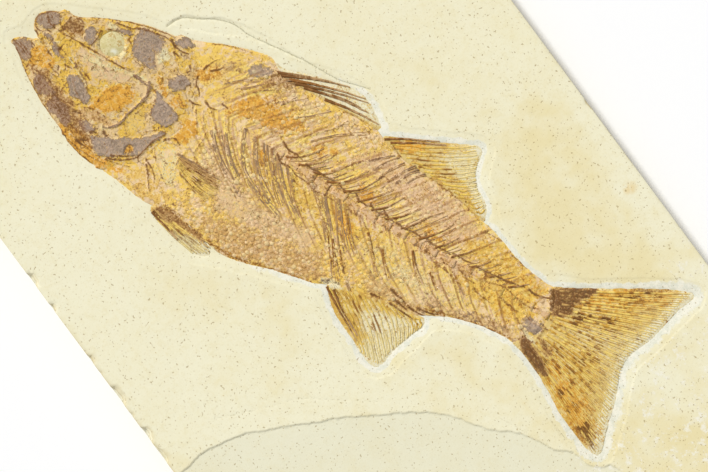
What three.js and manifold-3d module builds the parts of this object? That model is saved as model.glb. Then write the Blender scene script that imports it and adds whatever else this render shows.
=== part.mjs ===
// A fossil fish in its limestone slab, lying face up. Millimetres, +Z up.
//
// The slab's back rests on Z = 0, with its long sawn sides along X. A shallow hollow is cut in its top round
// the fish, and every bone plate of the fish stands on the floor of that hollow. The fish has a frame of its
// own: s runs from the tip of the lower jaw to the tail and t towards its back, and the fish group turns that
// frame into the slab's.

import * as THREE from "three";
import Module from "manifold-3d";
import { mergeVertices } from "three/addons/utils/BufferGeometryUtils.js";

const wasm = await Module();
wasm.setup();

// ---- driving dimensions -----------------------------------------------------------------------------

const slabLength = 366;
const slabWidth = 232;
const slabThickness = 13;

const hollowDepth = 1.0; // from the slab's top down to the floor that the fish lies on
const scarDepth = 0.35; // thin flake lifted off above the fish's back
const lowBedDepth = 0.5; // corner where the next bed down is bare

const fishOrigin = [-149, -62.4]; // tip of the lower jaw on the slab
const fishTurn = THREE.MathUtils.degToRad(26);
const jointGap = 0.35; // rock left between neighbouring bones
const curveSteps = 3; // straight pieces between two points of an outline

const skinThickness = 1.1;
const skullThickness = 1.4;
const jawThickness = 1.3;
const gillCoverThickness = 1.5;
const finThickness = 0.8;
const rayHeight = 1.1; // a fin's rays stand this high above the hollow's floor
const tailRayHeight = 1.2;
const boneRise = 0.55; // backbone, ribs and the pectoral fin's rays above the skin
const pectoralWebRise = 0.3; // the pectoral fin's web above the skin

const eyeCentre = [38, 17.8];
const eyeRadius = 5.6;
const eyeSides = 20;

// ---- outlines in the fish's frame: [s, t] -----------------------------------------------------------

const outlines = {
  lowerJaw: [
    [-0.4, 0.1], [2.5, 2.6], [6.5, 4], [12, 4.8], [17, 3.6], [22.5, 0.8], [26.5, -2], [30.5, -5.5],
    [34, -9.2], [38.5, -11], [41.4, -15], [40.6, -20], [38.5, -24.4], [33, -22.8], [28, -20.3], [22, -17],
    [16, -13.2], [10, -8.8], [5.5, -4.6], [2, -2], [-0.3, -1.2],
  ],
  upperJaw: [
    [4.3, 13.3], [5.2, 15.8], [8, 18], [11.5, 19.7], [14.6, 20.6], [15.6, 18], [15.2, 14], [18, 12],
    [24, 10.4], [28, 8], [33, 4.5], [37, 0], [40, -6], [41.4, -9.6], [38.5, -9.8], [34.5, -8],
    [31, -4], [27, -0.5], [23, 2.2], [17.5, 4.8], [12.5, 6.2], [9, 7], [6.3, 8.2], [5, 10.5],
  ],
  gillCover: [
    [58, 10.2], [66, 9.8], [73, 8.6], [79, 9.5], [79.8, 6], [79.2, 0], [76.6, -6], [73.6, -12],
    [72.6, -17], [69.7, -21.3], [63.6, -24.9], [59.6, -29], [54, -30.8], [49, -30.3], [43, -28.3],
    [39, -26.4], [39.6, -22], [42, -15.4], [47, -14.8], [53, -14.2], [56, -10], [57.5, -4], [60, 2],
    [59.2, 7],
  ],
  skull: [
    [14.8, 20.4], [18, 21], [22, 22.2], [26, 24.3], [31, 26.6], [36, 28.2], [42, 30.4], [48, 31.9],
    [54, 32.6], [60, 33.2], [65.7, 33.6], [69.9, 29], [74.8, 25], [77.8, 19], [80.3, 13], [78, 5], [66, 4],
    [63, -8], [54, -17], [42, -17], [36, -10], [30, -2], [20, 6], [12, 14],
  ],
  trunk: [
    [62, 33.4], [72, 36.8], [80, 40], [88, 42.2], [94, 43.6], [100, 44.2], [103.5, 41.8], [110, 39.2],
    [120, 38.2], [130, 37.9], [142, 37.8], [152, 37.2], [158, 34.7], [163, 32.8], [170, 31], [180, 29.8],
    [190, 28.4], [198, 27], [205, 25], [210, 23.3], [216, 22.2], [223, 19.8], [230, 17], [238, 14.6],
    [246, 13.2], [250.5, 12.4], [253, 9], [254.6, 4.5], [253.6, 0], [254.4, -4.5], [252.6, -9],
    [248.5, -12.4], [245.5, -16], [240, -15.2], [233, -15.6], [225, -17], [216, -19], [209, -21.8],
    [204, -24.2], [197, -24.6], [188, -24.9], [180, -26.3], [172, -27.8], [165, -29.6], [160, -32.6],
    [154, -33.7], [147, -34.8], [140, -36], [132, -38], [124, -39.2], [117, -39], [110, -37.2],
    [104, -35.2], [96, -34.1], [88, -33.9], [80, -34.6], [72, -33.6], [65, -32.3], [58, -31.2],
    [53, -28], [58, -10], [60, 12], [60, 28],
  ],
  spinyDorsal: [
    [103.2, 42.6], [107, 42.2], [111, 43.4], [117, 45.2], [125, 46.8], [132, 47.9], [138, 48.4], [143, 47.6],
    [147, 46], [149.6, 43.6], [153.4, 40.8], [155.6, 38.4], [152, 37.9], [142, 38.5], [130, 38.6],
    [120, 38.9], [110, 39.9], [105, 41.6],
  ],
  softDorsal: [
    [157.6, 35.8], [162, 38.4], [166.5, 40.2], [171, 41.8], [180, 45.6], [188, 48.9], [194.6, 51.4],
    [196.8, 50.4], [198, 45], [199, 40], [200.4, 36.6], [204.6, 33.8], [208.8, 31], [210.6, 27.4],
    [210.8, 24.2], [205, 25.8], [198, 27.8], [190, 29.2], [180, 30.6], [170, 31.8], [163, 33.6],
  ],
  anal: [
    [165.2, -30.6], [167.4, -34.6], [171, -38.4], [176, -41.8], [181, -44.4], [186, -46.9], [190, -49.6],
    [194.4, -51.8], [199, -52], [201.2, -49], [202, -44.6], [203.6, -40], [205.4, -35.6], [207.2, -31.4],
    [209.6, -27.6], [208.4, -24.4], [204.4, -25.1], [197, -25.4], [188, -25.7], [180, -27.1], [172, -28.6],
  ],
  pectoral: [
    [83.6, -11.2], [89, -10.4], [95, -10.9], [101, -11.8], [106.4, -13.4], [107, -17], [106.2, -21],
    [103.6, -24.4], [98.6, -23.6], [93.6, -21.4], [89, -19], [85.6, -16.4],
  ],
  pelvic: [
    [83.6, -36.8], [88, -38.9], [93, -40.8], [99, -42.6], [105, -44.2], [110.4, -45], [114.4, -44],
    [115.6, -41.6], [111, -39], [106, -37.1], [100, -35.6], [94, -34.8], [88, -34.7], [84.6, -35.3],
  ],
  tail: [
    [250.4, 13.2], [255, 15.6], [262, 19.2], [267.4, 21.8], [274, 25.3], [283, 29.9], [292, 34.2],
    [299, 36.8], [303, 38], [304.6, 36], [303.6, 33.4], [301.4, 29.4], [299.6, 24], [298.2, 17],
    [296, 11], [293, 5],
    [291.2, 0], [290.6, -5], [292, -10], [294.4, -15], [295.6, -21], [296.6, -27], [297.8, -33],
    [299.4, -38], [299, -42], [293, -41.6], [286, -38.4], [278, -34.8], [270, -29.2], [263, -24.8],
    [256, -20.8], [250, -18], [245.8, -16.6], [247, -11], [250, 0],
  ],
};

// The preparator's hollow, a little outside the fish.
const hollowOutline = [
  [-5, 1], [0, 7], [1.5, 14], [5, 19.5], [12, 23.4], [20, 26], [30, 30], [40, 33.6], [50, 35.8], [60, 37],
  [70, 40], [80, 43.4], [90, 46], [100, 48], [110, 47.6], [120, 50], [132, 51.6], [143, 51.2], [150, 48.6],
  [157, 43.6], [163, 43.4], [172, 46.6], [184, 51.6], [194, 55.4], [201, 53.6], [203.6, 45], [206, 38.4],
  [213, 32.6], [217, 27.4], [226, 23.2], [236, 19], [246, 17.4], [256, 20.4], [266, 25.2], [276, 30.6],
  [288, 36.8], [298, 41], [306, 41.6], [309, 36], [307, 27], [304, 18], [301, 8], [297.4, 0], [298.4, -10],
  [301.6, -20], [303.6, -31], [305, -42], [300, -46.4], [290, -45], [278, -39.6], [266, -32], [254, -24.4],
  [244, -20.6], [232, -20.4], [220, -23], [213.6, -27], [211, -35], [208, -43], [205.6, -52], [199, -56.4],
  [190, -54.4], [180, -48.8], [169, -42.4], [162, -36.8], [152, -38], [140, -40.2], [128, -43.6],
  [119, -46], [109, -48.6], [96, -46], [84, -41.4], [74, -38.2], [62, -35.6], [50, -34.4], [38, -30.2],
  [26, -23.8], [14, -16], [4, -7],
];

// ---- outlines in the slab's frame: [x, y] -----------------------------------------------------------

// Edge of the thin flake that came off above the back, closed across the hollow.
const scarOutline = [
  [-115, -8], [-114, 2], [-108, 8], [-104, 14], [-93, 21], [-84, 25.6], [-76, 28], [-62, 34.6], [-50, 41],
  [-40, 45.2], [-34, 38], [-60, 15], [-90, -6],
];

// Edge of the upper bed, from the lower sawn side to the far end. Beyond it the next bed shows.
const bedEdge = [
  [39.5, -118], [38.5, -106], [38, -100], [39, -94], [40.5, -88], [42.5, -81], [45.5, -76], [49.5, -67],
  [54.5, -58], [60.5, -46], [66.5, -37], [72.5, -27], [80.5, -15], [86, -10], [92.5, -5], [99, -1],
  [104, 3], [109, 9], [116, 14], [125, 18], [130, 24], [137, 30], [148, 35], [160, 37], [172, 42], [186, 46],
];

// ---- how the strokes of the skeleton run ------------------------------------------------------------

// The column of vertebrae, from the skull to the tail.
const columnLine = [
  [83, 14.4], [100, 12.6], [120, 9.4], [140, 7], [160, 4.4], [180, 3], [205, 2], [230, 1.2], [250, 0.6],
];
const columnWidth = [6.2, 4.6];
const columnSteps = 16;
const vertebraCount = 22;
const vertebraLength = 2.4;
const vertebraRim = 0.8; // how much taller a vertebra is than the column, both sides together

// Families of bones that follow the column: where along it they start and end, how far the first and the
// last of them reach along s and t, and how much they bow.
const boneFamilies = {
  neuralSpines: { from: 0.06, to: 0.96, count: 18, reach: [[13, 16], [5, 6]], bend: 1.4 },
  ribs: { from: 0.05, to: 0.47, count: 10, reach: [[26, -24], [9, -17]], bend: 4.5 },
  haemalSpines: { from: 0.52, to: 0.96, count: 10, reach: [[13, -16], [5, -6]], bend: 1.6 },
};
const boneWidth = [1.5, 0.7];
const boneSteps = 3;

// The rays of each fin: they start along its base and end along its margin.
const fans = {
  softDorsal: {
    base: [[161, 34.5], [172, 31.8], [185, 30.4], [198, 28.2], [206, 26]],
    margin: [[194, 50.4], [197.4, 46], [198.6, 40.5], [202.6, 34.5], [209, 28.6]],
    count: 12, width: [1.1, 0.5], bend: 1.5,
  },
  anal: {
    base: [[166, -31], [173, -29.2], [182, -27.2], [194, -26], [204, -25.6]],
    margin: [[191, -49.4], [199.4, -50.4], [201.6, -43], [204.6, -36], [207.8, -28.6]],
    count: 11, width: [1.1, 0.5], bend: -1.5,
  },
  tail: {
    base: [[252, 12], [256, 8.4], [256.8, 3], [256, -1.5], [256.6, -6], [254, -11], [250, -16]],
    margin: [[302.4, 36.8], [300, 29], [296.4, 15], [290.4, 0], [293.6, -16], [296, -30], [297.8, -41]],
    count: 18, width: [1.5, 0.6], bend: 0,
  },
  pectoral: {
    base: [[84.6, -11.8], [85.4, -13.6], [86.2, -15.4]],
    margin: [[105.4, -13.6], [105.8, -18], [103, -23.4]],
    count: 8, width: [0.8, 0.6], bend: -0.6,
  },
  pelvic: {
    base: [[85, -35.8], [85, -36.4], [85.2, -37]],
    margin: [[114, -41.6], [113.8, -43], [111, -44.4]],
    count: 6, width: [0.9, 0.6], bend: -0.6,
  },
  spinyDorsal: {
    base: [[105, 41.8], [108, 40.7], [114, 39.8], [124, 39.2]],
    margin: [[140, 47.6], [147.4, 45.2], [149.6, 42.8], [154, 39.2]],
    count: 7, width: [1.3, 0.6], bend: 0.8,
  },
};

// ---- shape helpers ----------------------------------------------------------------------------------

const flat = ([x, y]) => new THREE.Vector2(x, y);
const raised = ([x, y]) => new THREE.Vector3(x, y, 0);

// A smooth closed loop through the points of an outline.
function smoothLoop(points) {
  const curve = new THREE.CatmullRomCurve3(points.map(raised), true, "centripetal");
  const loop = curve.getPoints(points.length * curveSteps).map((p) => new THREE.Vector2(p.x, p.y));
  loop.pop(); // the last point repeats the first
  return loop;
}

// A smooth open line through points.
function smoothLine(points) {
  return new THREE.CatmullRomCurve3(points.map(raised), false, "centripetal");
}

// The same loop moved outwards by a distance.
function grown(loop, distance) {
  const outward = THREE.ShapeUtils.isClockWise(loop) ? -distance : distance;
  return loop.map((point, i) => {
    const before = loop[(i + loop.length - 1) % loop.length];
    const after = loop[(i + 1) % loop.length];
    const along = after.clone().sub(before).normalize();
    return new THREE.Vector2(point.x + along.y * outward, point.y - along.x * outward);
  });
}

function toSolid(geometry) {
  const bare = geometry.index ? geometry.toNonIndexed() : geometry.clone();
  bare.deleteAttribute("normal");
  bare.deleteAttribute("uv");
  const merged = mergeVertices(bare, 1e-4);
  return new wasm.Manifold(
    new wasm.Mesh({
      numProp: 3,
      vertProperties: merged.attributes.position.array,
      triVerts: new Uint32Array(merged.index.array),
    }),
  );
}

function toGeometry(solid) {
  const mesh = solid.getMesh();
  const places = new Float32Array(mesh.numVert * 3);
  for (let i = 0; i < mesh.numVert; i++) {
    places.set(mesh.vertProperties.subarray(i * mesh.numProp, i * mesh.numProp + 3), i * 3);
  }
  return new THREE.BufferGeometry()
    .setAttribute("position", new THREE.BufferAttribute(places, 3))
    .setIndex(new THREE.BufferAttribute(new Uint32Array(mesh.triVerts), 1));
}

// A straight-sided prism on a loop, from one height to another.
function prism(loop, from, to) {
  const shape = new THREE.Shape(loop);
  const geometry = new THREE.ExtrudeGeometry(shape, { depth: to - from, bevelEnabled: false });
  return toSolid(geometry.translate(0, 0, from));
}

// A flat strip along an open line, tapering from its root to its tip.
function strip(line, widths, steps, from, to) {
  const left = [];
  const right = [];
  for (let i = 0; i <= steps; i++) {
    const u = i / steps;
    const place = line.getPoint(u);
    const along = line.getTangent(u);
    const half = THREE.MathUtils.lerp(widths[0], widths[1], u) / 2;
    left.push(new THREE.Vector2(place.x - along.y * half, place.y + along.x * half));
    right.push(new THREE.Vector2(place.x + along.y * half, place.y - along.x * half));
  }
  return prism([...left, ...right.reverse()], from, to);
}

// A curve from one point to another that bows sideways by a distance.
function bowed(start, end, bend) {
  const middle = start.clone().lerp(end, 0.5);
  const across = new THREE.Vector2(-(end.y - start.y), end.x - start.x).normalize();
  middle.addScaledVector(across, bend);
  return smoothLine([start.toArray(), middle.toArray(), end.toArray()]);
}

function flatPoint(curve, u) {
  const place = curve.getPointAt(u);
  return new THREE.Vector2(place.x, place.y);
}

// ---- the pieces -------------------------------------------------------------------------------------

const floorZ = slabThickness - hollowDepth;
const skinTop = floorZ + skinThickness;
const finTop = floorZ + finThickness;
const past = 5; // cutting solids run this far past what they cut
const aboveAll = slabThickness + past;
const belowFloor = floorZ - past;

function limestoneSlab() {
  const block = new THREE.BoxGeometry(slabLength, slabWidth, slabThickness);
  block.translate(0, 0, slabThickness / 2);
  const turned = smoothLoop(hollowOutline).map((p) =>
    p.rotateAround(new THREE.Vector2(), fishTurn).add(flat(fishOrigin)),
  );
  const bedLine = smoothLine(bedEdge).getPoints(bedEdge.length * 2);
  const lowBed = [
    ...bedLine.map((p) => new THREE.Vector2(p.x, p.y)),
    new THREE.Vector2(slabLength / 2 + past, -slabWidth / 2 - past),
    new THREE.Vector2(bedEdge[0][0], -slabWidth / 2 - past),
  ];
  return toSolid(block)
    .subtract(prism(smoothLoop(scarOutline), slabThickness - scarDepth, aboveAll))
    .subtract(prism(lowBed, slabThickness - lowBedDepth, aboveAll))
    .subtract(prism(turned, floorZ, aboveAll));
}

const loops = Object.fromEntries(
  Object.entries(outlines).map(([name, points]) => [name, smoothLoop(points)]),
);

// A bone plate on the hollow's floor, cut back from the neighbours that it meets.
function bonePlate(name, thickness, neighbours = []) {
  return neighbours.reduce(
    (solid, other) => solid.subtract(prism(grown(loops[other], jointGap), belowFloor, aboveAll)),
    prism(loops[name], floorZ, floorZ + thickness),
  );
}

function skull() {
  const socket = Array.from({ length: eyeSides }, (_, i) => {
    const turn = (i / eyeSides) * 2 * Math.PI;
    return new THREE.Vector2(
      eyeCentre[0] + eyeRadius * Math.cos(turn),
      eyeCentre[1] + eyeRadius * Math.sin(turn),
    );
  });
  return bonePlate("skull", skullThickness, ["upperJaw", "lowerJaw", "gillCover"]).subtract(
    prism(socket, belowFloor, aboveAll),
  );
}

// A fin: a thin web with raised rays that spread from its base to its margin.
function fin(name, bottom, webTop, rayTop) {
  const { base, margin, count, width, bend } = fans[name];
  const baseLine = smoothLine(base);
  const marginLine = smoothLine(margin);
  const raySteps = bend === 0 ? 1 : boneSteps;
  let solid = prism(loops[name], bottom, webTop);
  for (let i = 0; i < count; i++) {
    const u = i / (count - 1);
    const ray = bowed(flatPoint(baseLine, u), flatPoint(marginLine, u), bend);
    solid = solid.add(strip(ray, width, raySteps, bottom, rayTop));
  }
  return solid.intersect(prism(loops[name], belowFloor, aboveAll));
}

// A fin that stands on the hollow's floor.
const floorFin = (name, height = rayHeight) => fin(name, floorZ, finTop, floorZ + height);

// The tail fin is cut back from the end of the trunk.
const tailFin = () =>
  floorFin("tail", tailRayHeight).subtract(prism(grown(loops.trunk, jointGap), belowFloor, aboveAll));

// The column of vertebrae with its spines and ribs, lying on the skin.
function backbone() {
  const top = skinTop + boneRise;
  const column = smoothLine(columnLine);
  let solid = strip(column, columnWidth, columnSteps, skinTop, top);
  for (let i = 0; i < vertebraCount; i++) {
    const u = (i + 0.5) / vertebraCount;
    const place = column.getPointAt(u);
    const along = column.getTangentAt(u);
    const tall = THREE.MathUtils.lerp(columnWidth[0], columnWidth[1], u) + vertebraRim;
    const bead = new THREE.BoxGeometry(vertebraLength, tall, boneRise)
      .rotateZ(Math.atan2(along.y, along.x))
      .translate(place.x, place.y, (top + skinTop) / 2);
    solid = solid.add(toSolid(bead));
  }
  for (const { from, to, count, reach, bend } of Object.values(boneFamilies)) {
    for (let i = 0; i < count; i++) {
      const share = i / (count - 1);
      const root = flatPoint(column, THREE.MathUtils.lerp(from, to, share));
      const tip = new THREE.Vector2(
        root.x + THREE.MathUtils.lerp(reach[0][0], reach[1][0], share),
        root.y + THREE.MathUtils.lerp(reach[0][1], reach[1][1], share),
      );
      solid = solid.add(strip(bowed(root, tip, -bend), boneWidth, boneSteps, skinTop, top));
    }
  }
  return solid;
}

// ---- materials and assembly -------------------------------------------------------------------------

const finish = (color, roughness) => new THREE.MeshStandardMaterial({ color, roughness, metalness: 0 });
const limestone = finish("#efe9cb", 0.92);
const boneOchre = finish("#c79a4c", 0.7);
const boneGrey = finish("#a58c6c", 0.6);
const skin = finish("#d8ad62", 0.75);
const columnBrown = finish("#8f6330", 0.7);
const rayGold = finish("#cdb06a", 0.72);

function part(name, solid, material) {
  const mesh = new THREE.Mesh(toGeometry(solid), material);
  mesh.name = name;
  return mesh;
}

const fish = new THREE.Group();
fish.position.set(fishOrigin[0], fishOrigin[1], 0);
fish.rotation.z = fishTurn;
fish.add(
  part("skull", skull(), boneOchre),
  part("upper_jaw", bonePlate("upperJaw", jawThickness, ["lowerJaw"]), boneGrey),
  part("lower_jaw", bonePlate("lowerJaw", jawThickness), boneGrey),
  part("gill_cover", bonePlate("gillCover", gillCoverThickness, ["lowerJaw"]), boneGrey),
  part("trunk", bonePlate("trunk", skinThickness, ["skull", "gillCover"]), skin),
  part("backbone", backbone(), columnBrown),
  part("spiny_dorsal_fin", floorFin("spinyDorsal"), rayGold),
  part("soft_dorsal_fin", floorFin("softDorsal"), rayGold),
  part("anal_fin", floorFin("anal"), rayGold),
  part("pectoral_fin", fin("pectoral", skinTop, skinTop + pectoralWebRise, skinTop + boneRise), rayGold),
  part("pelvic_fin", floorFin("pelvic"), rayGold),
  part("tail_fin", tailFin(), rayGold),
);

const fossil = new THREE.Group();
fossil.add(part("limestone_slab", limestoneSlab(), limestone), fish);

export default fossil;
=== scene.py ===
# A fossil fish in its slab of limestone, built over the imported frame.
# The dictionaries are in millimetres. The fish has its own flat frame: s runs from the tip of the lower jaw
# to the tail and t towards its back. A path in it is one flat list, s and t in turn.

import math

import bpy
import numpy as np
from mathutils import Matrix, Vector
from mathutils.geometry import delaunay_2d_cdt
from mathutils.kdtree import KDTree


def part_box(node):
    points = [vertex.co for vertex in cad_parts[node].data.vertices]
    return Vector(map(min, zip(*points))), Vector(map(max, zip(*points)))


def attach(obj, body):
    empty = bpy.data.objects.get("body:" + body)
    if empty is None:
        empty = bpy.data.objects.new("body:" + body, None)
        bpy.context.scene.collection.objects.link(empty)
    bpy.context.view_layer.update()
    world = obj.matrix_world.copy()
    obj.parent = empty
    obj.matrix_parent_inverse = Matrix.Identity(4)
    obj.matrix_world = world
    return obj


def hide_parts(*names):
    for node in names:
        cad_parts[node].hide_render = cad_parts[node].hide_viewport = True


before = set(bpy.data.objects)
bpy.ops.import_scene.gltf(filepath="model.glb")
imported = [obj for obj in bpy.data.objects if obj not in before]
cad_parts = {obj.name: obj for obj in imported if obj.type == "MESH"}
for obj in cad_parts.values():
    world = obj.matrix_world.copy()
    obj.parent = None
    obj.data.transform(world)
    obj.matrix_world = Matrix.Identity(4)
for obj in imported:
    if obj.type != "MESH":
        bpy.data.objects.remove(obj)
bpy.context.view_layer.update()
mm = 0.001


def boxOf(node):
    low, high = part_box(node)
    return np.array(low) / mm, np.array(high) / mm


slabLow, slabHigh = boxOf("limestone_slab")
floorZ = boxOf("trunk")[0][2]  # the floor of the hollow that the fish lies in
boneZ = boxOf("backbone")[1][2]  # the highest point of the whole fossil

# The fish lies at an angle on the slab, and its frame starts at the lower jaw's tip.
fishPlace = {"turn": 26.0, "tipFromBox": (0.4034, 6.0914)}
fishTurn = math.radians(fishPlace["turn"])
fishAlong = np.array([math.cos(fishTurn), math.sin(fishTurn)])
fishUp = np.array([-math.sin(fishTurn), math.cos(fishTurn)])
fishOrigin = boxOf("lower_jaw")[0][:2] + np.array(fishPlace["tipFromBox"])


def toSlab(points):
    points = np.reshape(points, (-1, 2))
    return fishOrigin + points[:, :1] * fishAlong + points[:, 1:] * fishUp


def toFish(points):
    offset = points[:, :2] - fishOrigin
    return np.column_stack([offset @ fishAlong, offset @ fishUp])


# Flat fields: random humps, strokes and patches.

def grain(points, size, seed, octaves=2):
    # Smooth random values from -1 to 1, with humps about one size across.
    total = np.zeros(len(points))
    weights = 0
    for octave in range(octaves):
        cells = points * (2 ** octave / size) + 17.3 * seed + 5.1 * octave
        low = np.floor(cells)
        part = cells - low
        ease = part * part * (3 - 2 * part)
        low = low.astype(np.int64)

        def corner(right, up):
            mixed = (low[:, 0] + right) * 73856093 ^ (low[:, 1] + up) * 19349663 ^ (seed + 7) * 83492791
            mixed = ((mixed ^ (mixed >> 13)) * 1274126177) & 0x7FFFFFFF
            return ((mixed ^ (mixed >> 15)) & 0xFFFF) / 32767.5 - 1

        lower = corner(0, 0) * (1 - ease[:, 0]) + corner(1, 0) * ease[:, 0]
        upper = corner(0, 1) * (1 - ease[:, 0]) + corner(1, 1) * ease[:, 0]
        weight = 0.5 ** octave
        total += weight * (lower * (1 - ease[:, 1]) + upper * ease[:, 1])
        weights += weight
    return total / weights


def ramp(values, low, high):
    share = np.clip((values - low) / (high - low), 0, 1)
    return share * share * (3 - 2 * share)


def rounded(points, closed=False, rounds=2):
    # The same path with its corners cut off twice. An open path keeps both ends.
    path = np.reshape(points, (-1, 2)).astype(float)
    for _ in range(rounds):
        after = np.roll(path, -1, axis=0) if closed else path[1:]
        before = path if closed else path[:-1]
        cut = np.stack([0.75 * before + 0.25 * after, 0.25 * before + 0.75 * after], axis=1).reshape(-1, 2)
        path = cut if closed else np.vstack([path[:1], cut, path[-1:]])
    return path


def evenPath(path, count=8):
    path = rounded(path)
    lengths = np.concatenate([[0], np.cumsum(np.linalg.norm(np.diff(path, axis=0), axis=1))])
    wanted = np.linspace(0, lengths[-1], count)
    return np.column_stack([np.interp(wanted, lengths, path[:, axis]) for axis in (0, 1)])


def nearBox(points, path, margin):
    low = path.min(axis=0) - margin
    high = path.max(axis=0) + margin
    return np.flatnonzero(np.all((points >= low) & (points <= high), axis=1))


def segmentDistance(points, start, end):
    along = end - start
    share = np.clip(((points - start) @ along) / max(along @ along, 1e-9), 0, 1)
    return np.linalg.norm(points - start - share[:, None] * along, axis=1), share


def strokeField(points, path, width, tip=0.45):
    # 1 on the centre line and 0 at the edge. The stroke thins towards its far end.
    path = rounded(path)
    near = nearBox(points, path, width)
    field = np.zeros(len(points))
    if not len(near):
        return field
    steps = np.linalg.norm(np.diff(path, axis=0), axis=1)
    reached = np.concatenate([[0], np.cumsum(steps)]) / max(steps.sum(), 1e-9)
    local = np.zeros(len(near))
    for i in range(len(path) - 1):
        distance, share = segmentDistance(points[near], path[i], path[i + 1])
        share = reached[i] + share * (reached[i + 1] - reached[i])
        half = width / 2 * (1 - (1 - tip) * share)
        local = np.maximum(local, 1 - distance / half)
    field[near] = np.clip(local, 0, 1)
    return field


def insideOf(points, loop):
    after = np.roll(loop, -1, axis=0)
    inside = np.zeros(len(points), bool)
    for (x0, y0), (x1, y1) in zip(loop, after):
        if y0 == y1:
            continue
        crosses = (y0 > points[:, 1]) != (y1 > points[:, 1])
        inside ^= crosses & (points[:, 0] < x0 + (points[:, 1] - y0) * (x1 - x0) / (y1 - y0))
    return inside


def loopDistance(points, loop, reach):
    # The distance to a loop, negative inside it, and never over reach outside it.
    distance = np.full(len(points), float(reach))
    near = nearBox(points, loop, reach)
    if not len(near):
        return distance
    local = np.full(len(near), 1e9)
    for start, end in zip(loop, np.roll(loop, -1, axis=0)):
        local = np.minimum(local, segmentDistance(points[near], start, end)[0])
    local[insideOf(points[near], loop)] *= -1
    distance[near] = np.minimum(local, reach)
    return distance


def patchField(points, outline, edge):
    # 1 inside an outline and 0 outside it, over a soft edge.
    return ramp(-loopDistance(points, rounded(outline, closed=True), edge), -edge, edge)


# Meshes: the outline of a CAD node, a sheet on it, and what it carries.

def loopsAt(node, height, facing):
    # The outlines of a node's flat faces at one height, longest first, in millimetres.
    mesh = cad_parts[node].data
    places = np.zeros(len(mesh.vertices) * 3, np.float32)
    mesh.vertices.foreach_get("co", places)
    places = places.reshape(-1, 3).astype(float) / mm
    keys = {}
    merged = [keys.setdefault(tuple(place), len(keys)) for place in np.round(places, 3)]
    spots = np.array(list(keys))
    edges = {}
    for face in mesh.polygons:
        corners = [merged[i] for i in face.vertices]
        if np.any(np.abs(spots[corners, 2] - height) > 0.01) or face.normal.z * facing < 0.5:
            continue
        for a, b in zip(corners, corners[1:] + corners[:1]):
            if (b, a) in edges:
                del edges[(b, a)]
            else:
                edges[(a, b)] = True
    follows = {}
    for a, b in edges:
        follows.setdefault(a, []).append(b)
    loops = []
    while follows:
        first = next(iter(follows))
        loop = [first]
        while True:
            options = follows.get(loop[-1])
            if not options:
                break
            following = options.pop()
            if not options:
                del follows[loop[-1]]
            if following == first:
                break
            loop.append(following)
        loops.append(spots[loop][:, :2])
    loops = [loop[::facing] for loop in loops if len(loop) > 3 and abs(loopArea(loop)) > 4]
    return sorted(loops, key=lambda loop: -abs(loopArea(loop)))


def loopArea(loop):
    after = np.roll(loop, -1, axis=0)
    return 0.5 * np.sum(loop[:, 0] * after[:, 1] - after[:, 0] * loop[:, 1])


def respaced(loop, step, smooth=0.0):
    # A closed loop with even steps, softened over a distance.
    path = np.vstack([loop, loop[:1]])
    lengths = np.linalg.norm(np.diff(path, axis=0), axis=1)
    reached = np.concatenate([[0], np.cumsum(lengths)])
    count = max(8, int(round(reached[-1] / step)))
    wanted = np.arange(count) * reached[-1] / count
    even = np.column_stack([np.interp(wanted, reached, path[:, axis]) for axis in (0, 1)])
    reach = int(round(smooth / step))
    for _ in range(3 if reach else 0):
        even = sum(np.roll(even, shift, axis=0) for shift in range(-reach, reach + 1)) / (2 * reach + 1)
    return even


def outwards(loop):
    # Away from the material, which lies to the left of every loop, round a hole too.
    along = np.roll(loop, -1, axis=0) - np.roll(loop, 1, axis=0)
    along /= np.maximum(np.linalg.norm(along, axis=1, keepdims=True), 1e-9)
    return np.column_stack([along[:, 1], -along[:, 0]])


def ragged(loop, grow, rough, seed):
    # The loop moved outwards by grow, which may differ from point to point, then roughened.
    sideways = grow + rough * grain(loop, 1.6, seed, 3)
    moved = loop + outwards(loop) * sideways[:, None]
    # In a tight bay the moved line would cross itself, so what comes back to the old line is left out.
    return moved[gaps(nearTree(respaced(loop, 0.1)), moved) > 0.98 * np.abs(sideways)]


def nearTree(spots):
    tree = KDTree(len(spots))
    for i, spot in enumerate(spots):
        tree.insert((spot[0], spot[1], 0), i)
    tree.balance()
    return tree


def gaps(tree, points):
    # How far each point is from the nearest spot of a tree.
    return np.array([tree.find((x, y, 0))[2] for x, y in points])


def fillPoints(loops, step):
    # Staggered points inside the loops, clear of their lines.
    corners = np.vstack(loops)
    starts = np.vstack(loops)
    ends = np.vstack([np.roll(loop, -1, axis=0) for loop in loops])
    rows = []
    low = corners.min(axis=0)
    high = corners.max(axis=0)
    for number, y in enumerate(np.arange(low[1] + step / 2, high[1], step * 0.866)):
        crosses = (starts[:, 1] > y) != (ends[:, 1] > y)
        a = starts[crosses]
        b = ends[crosses]
        cuts = np.sort(a[:, 0] + (y - a[:, 1]) * (b[:, 0] - a[:, 0]) / (b[:, 1] - a[:, 1]))
        for left, right in zip(cuts[::2], cuts[1::2]):
            first = math.ceil(left / step - (number % 2) / 2)
            last = math.floor(right / step - (number % 2) / 2)
            xs = (np.arange(first, last + 1) + (number % 2) / 2) * step
            rows.append(np.column_stack([xs, np.full(len(xs), y)]))
    points = np.vstack(rows)
    return points[gaps(nearTree(corners), points) > step * 0.55]


def loopEdges(loops):
    edges = []
    start = 0
    for loop in loops:
        edges += [(start + i, start + (i + 1) % len(loop)) for i in range(len(loop))]
        start += len(loop)
    return edges


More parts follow.
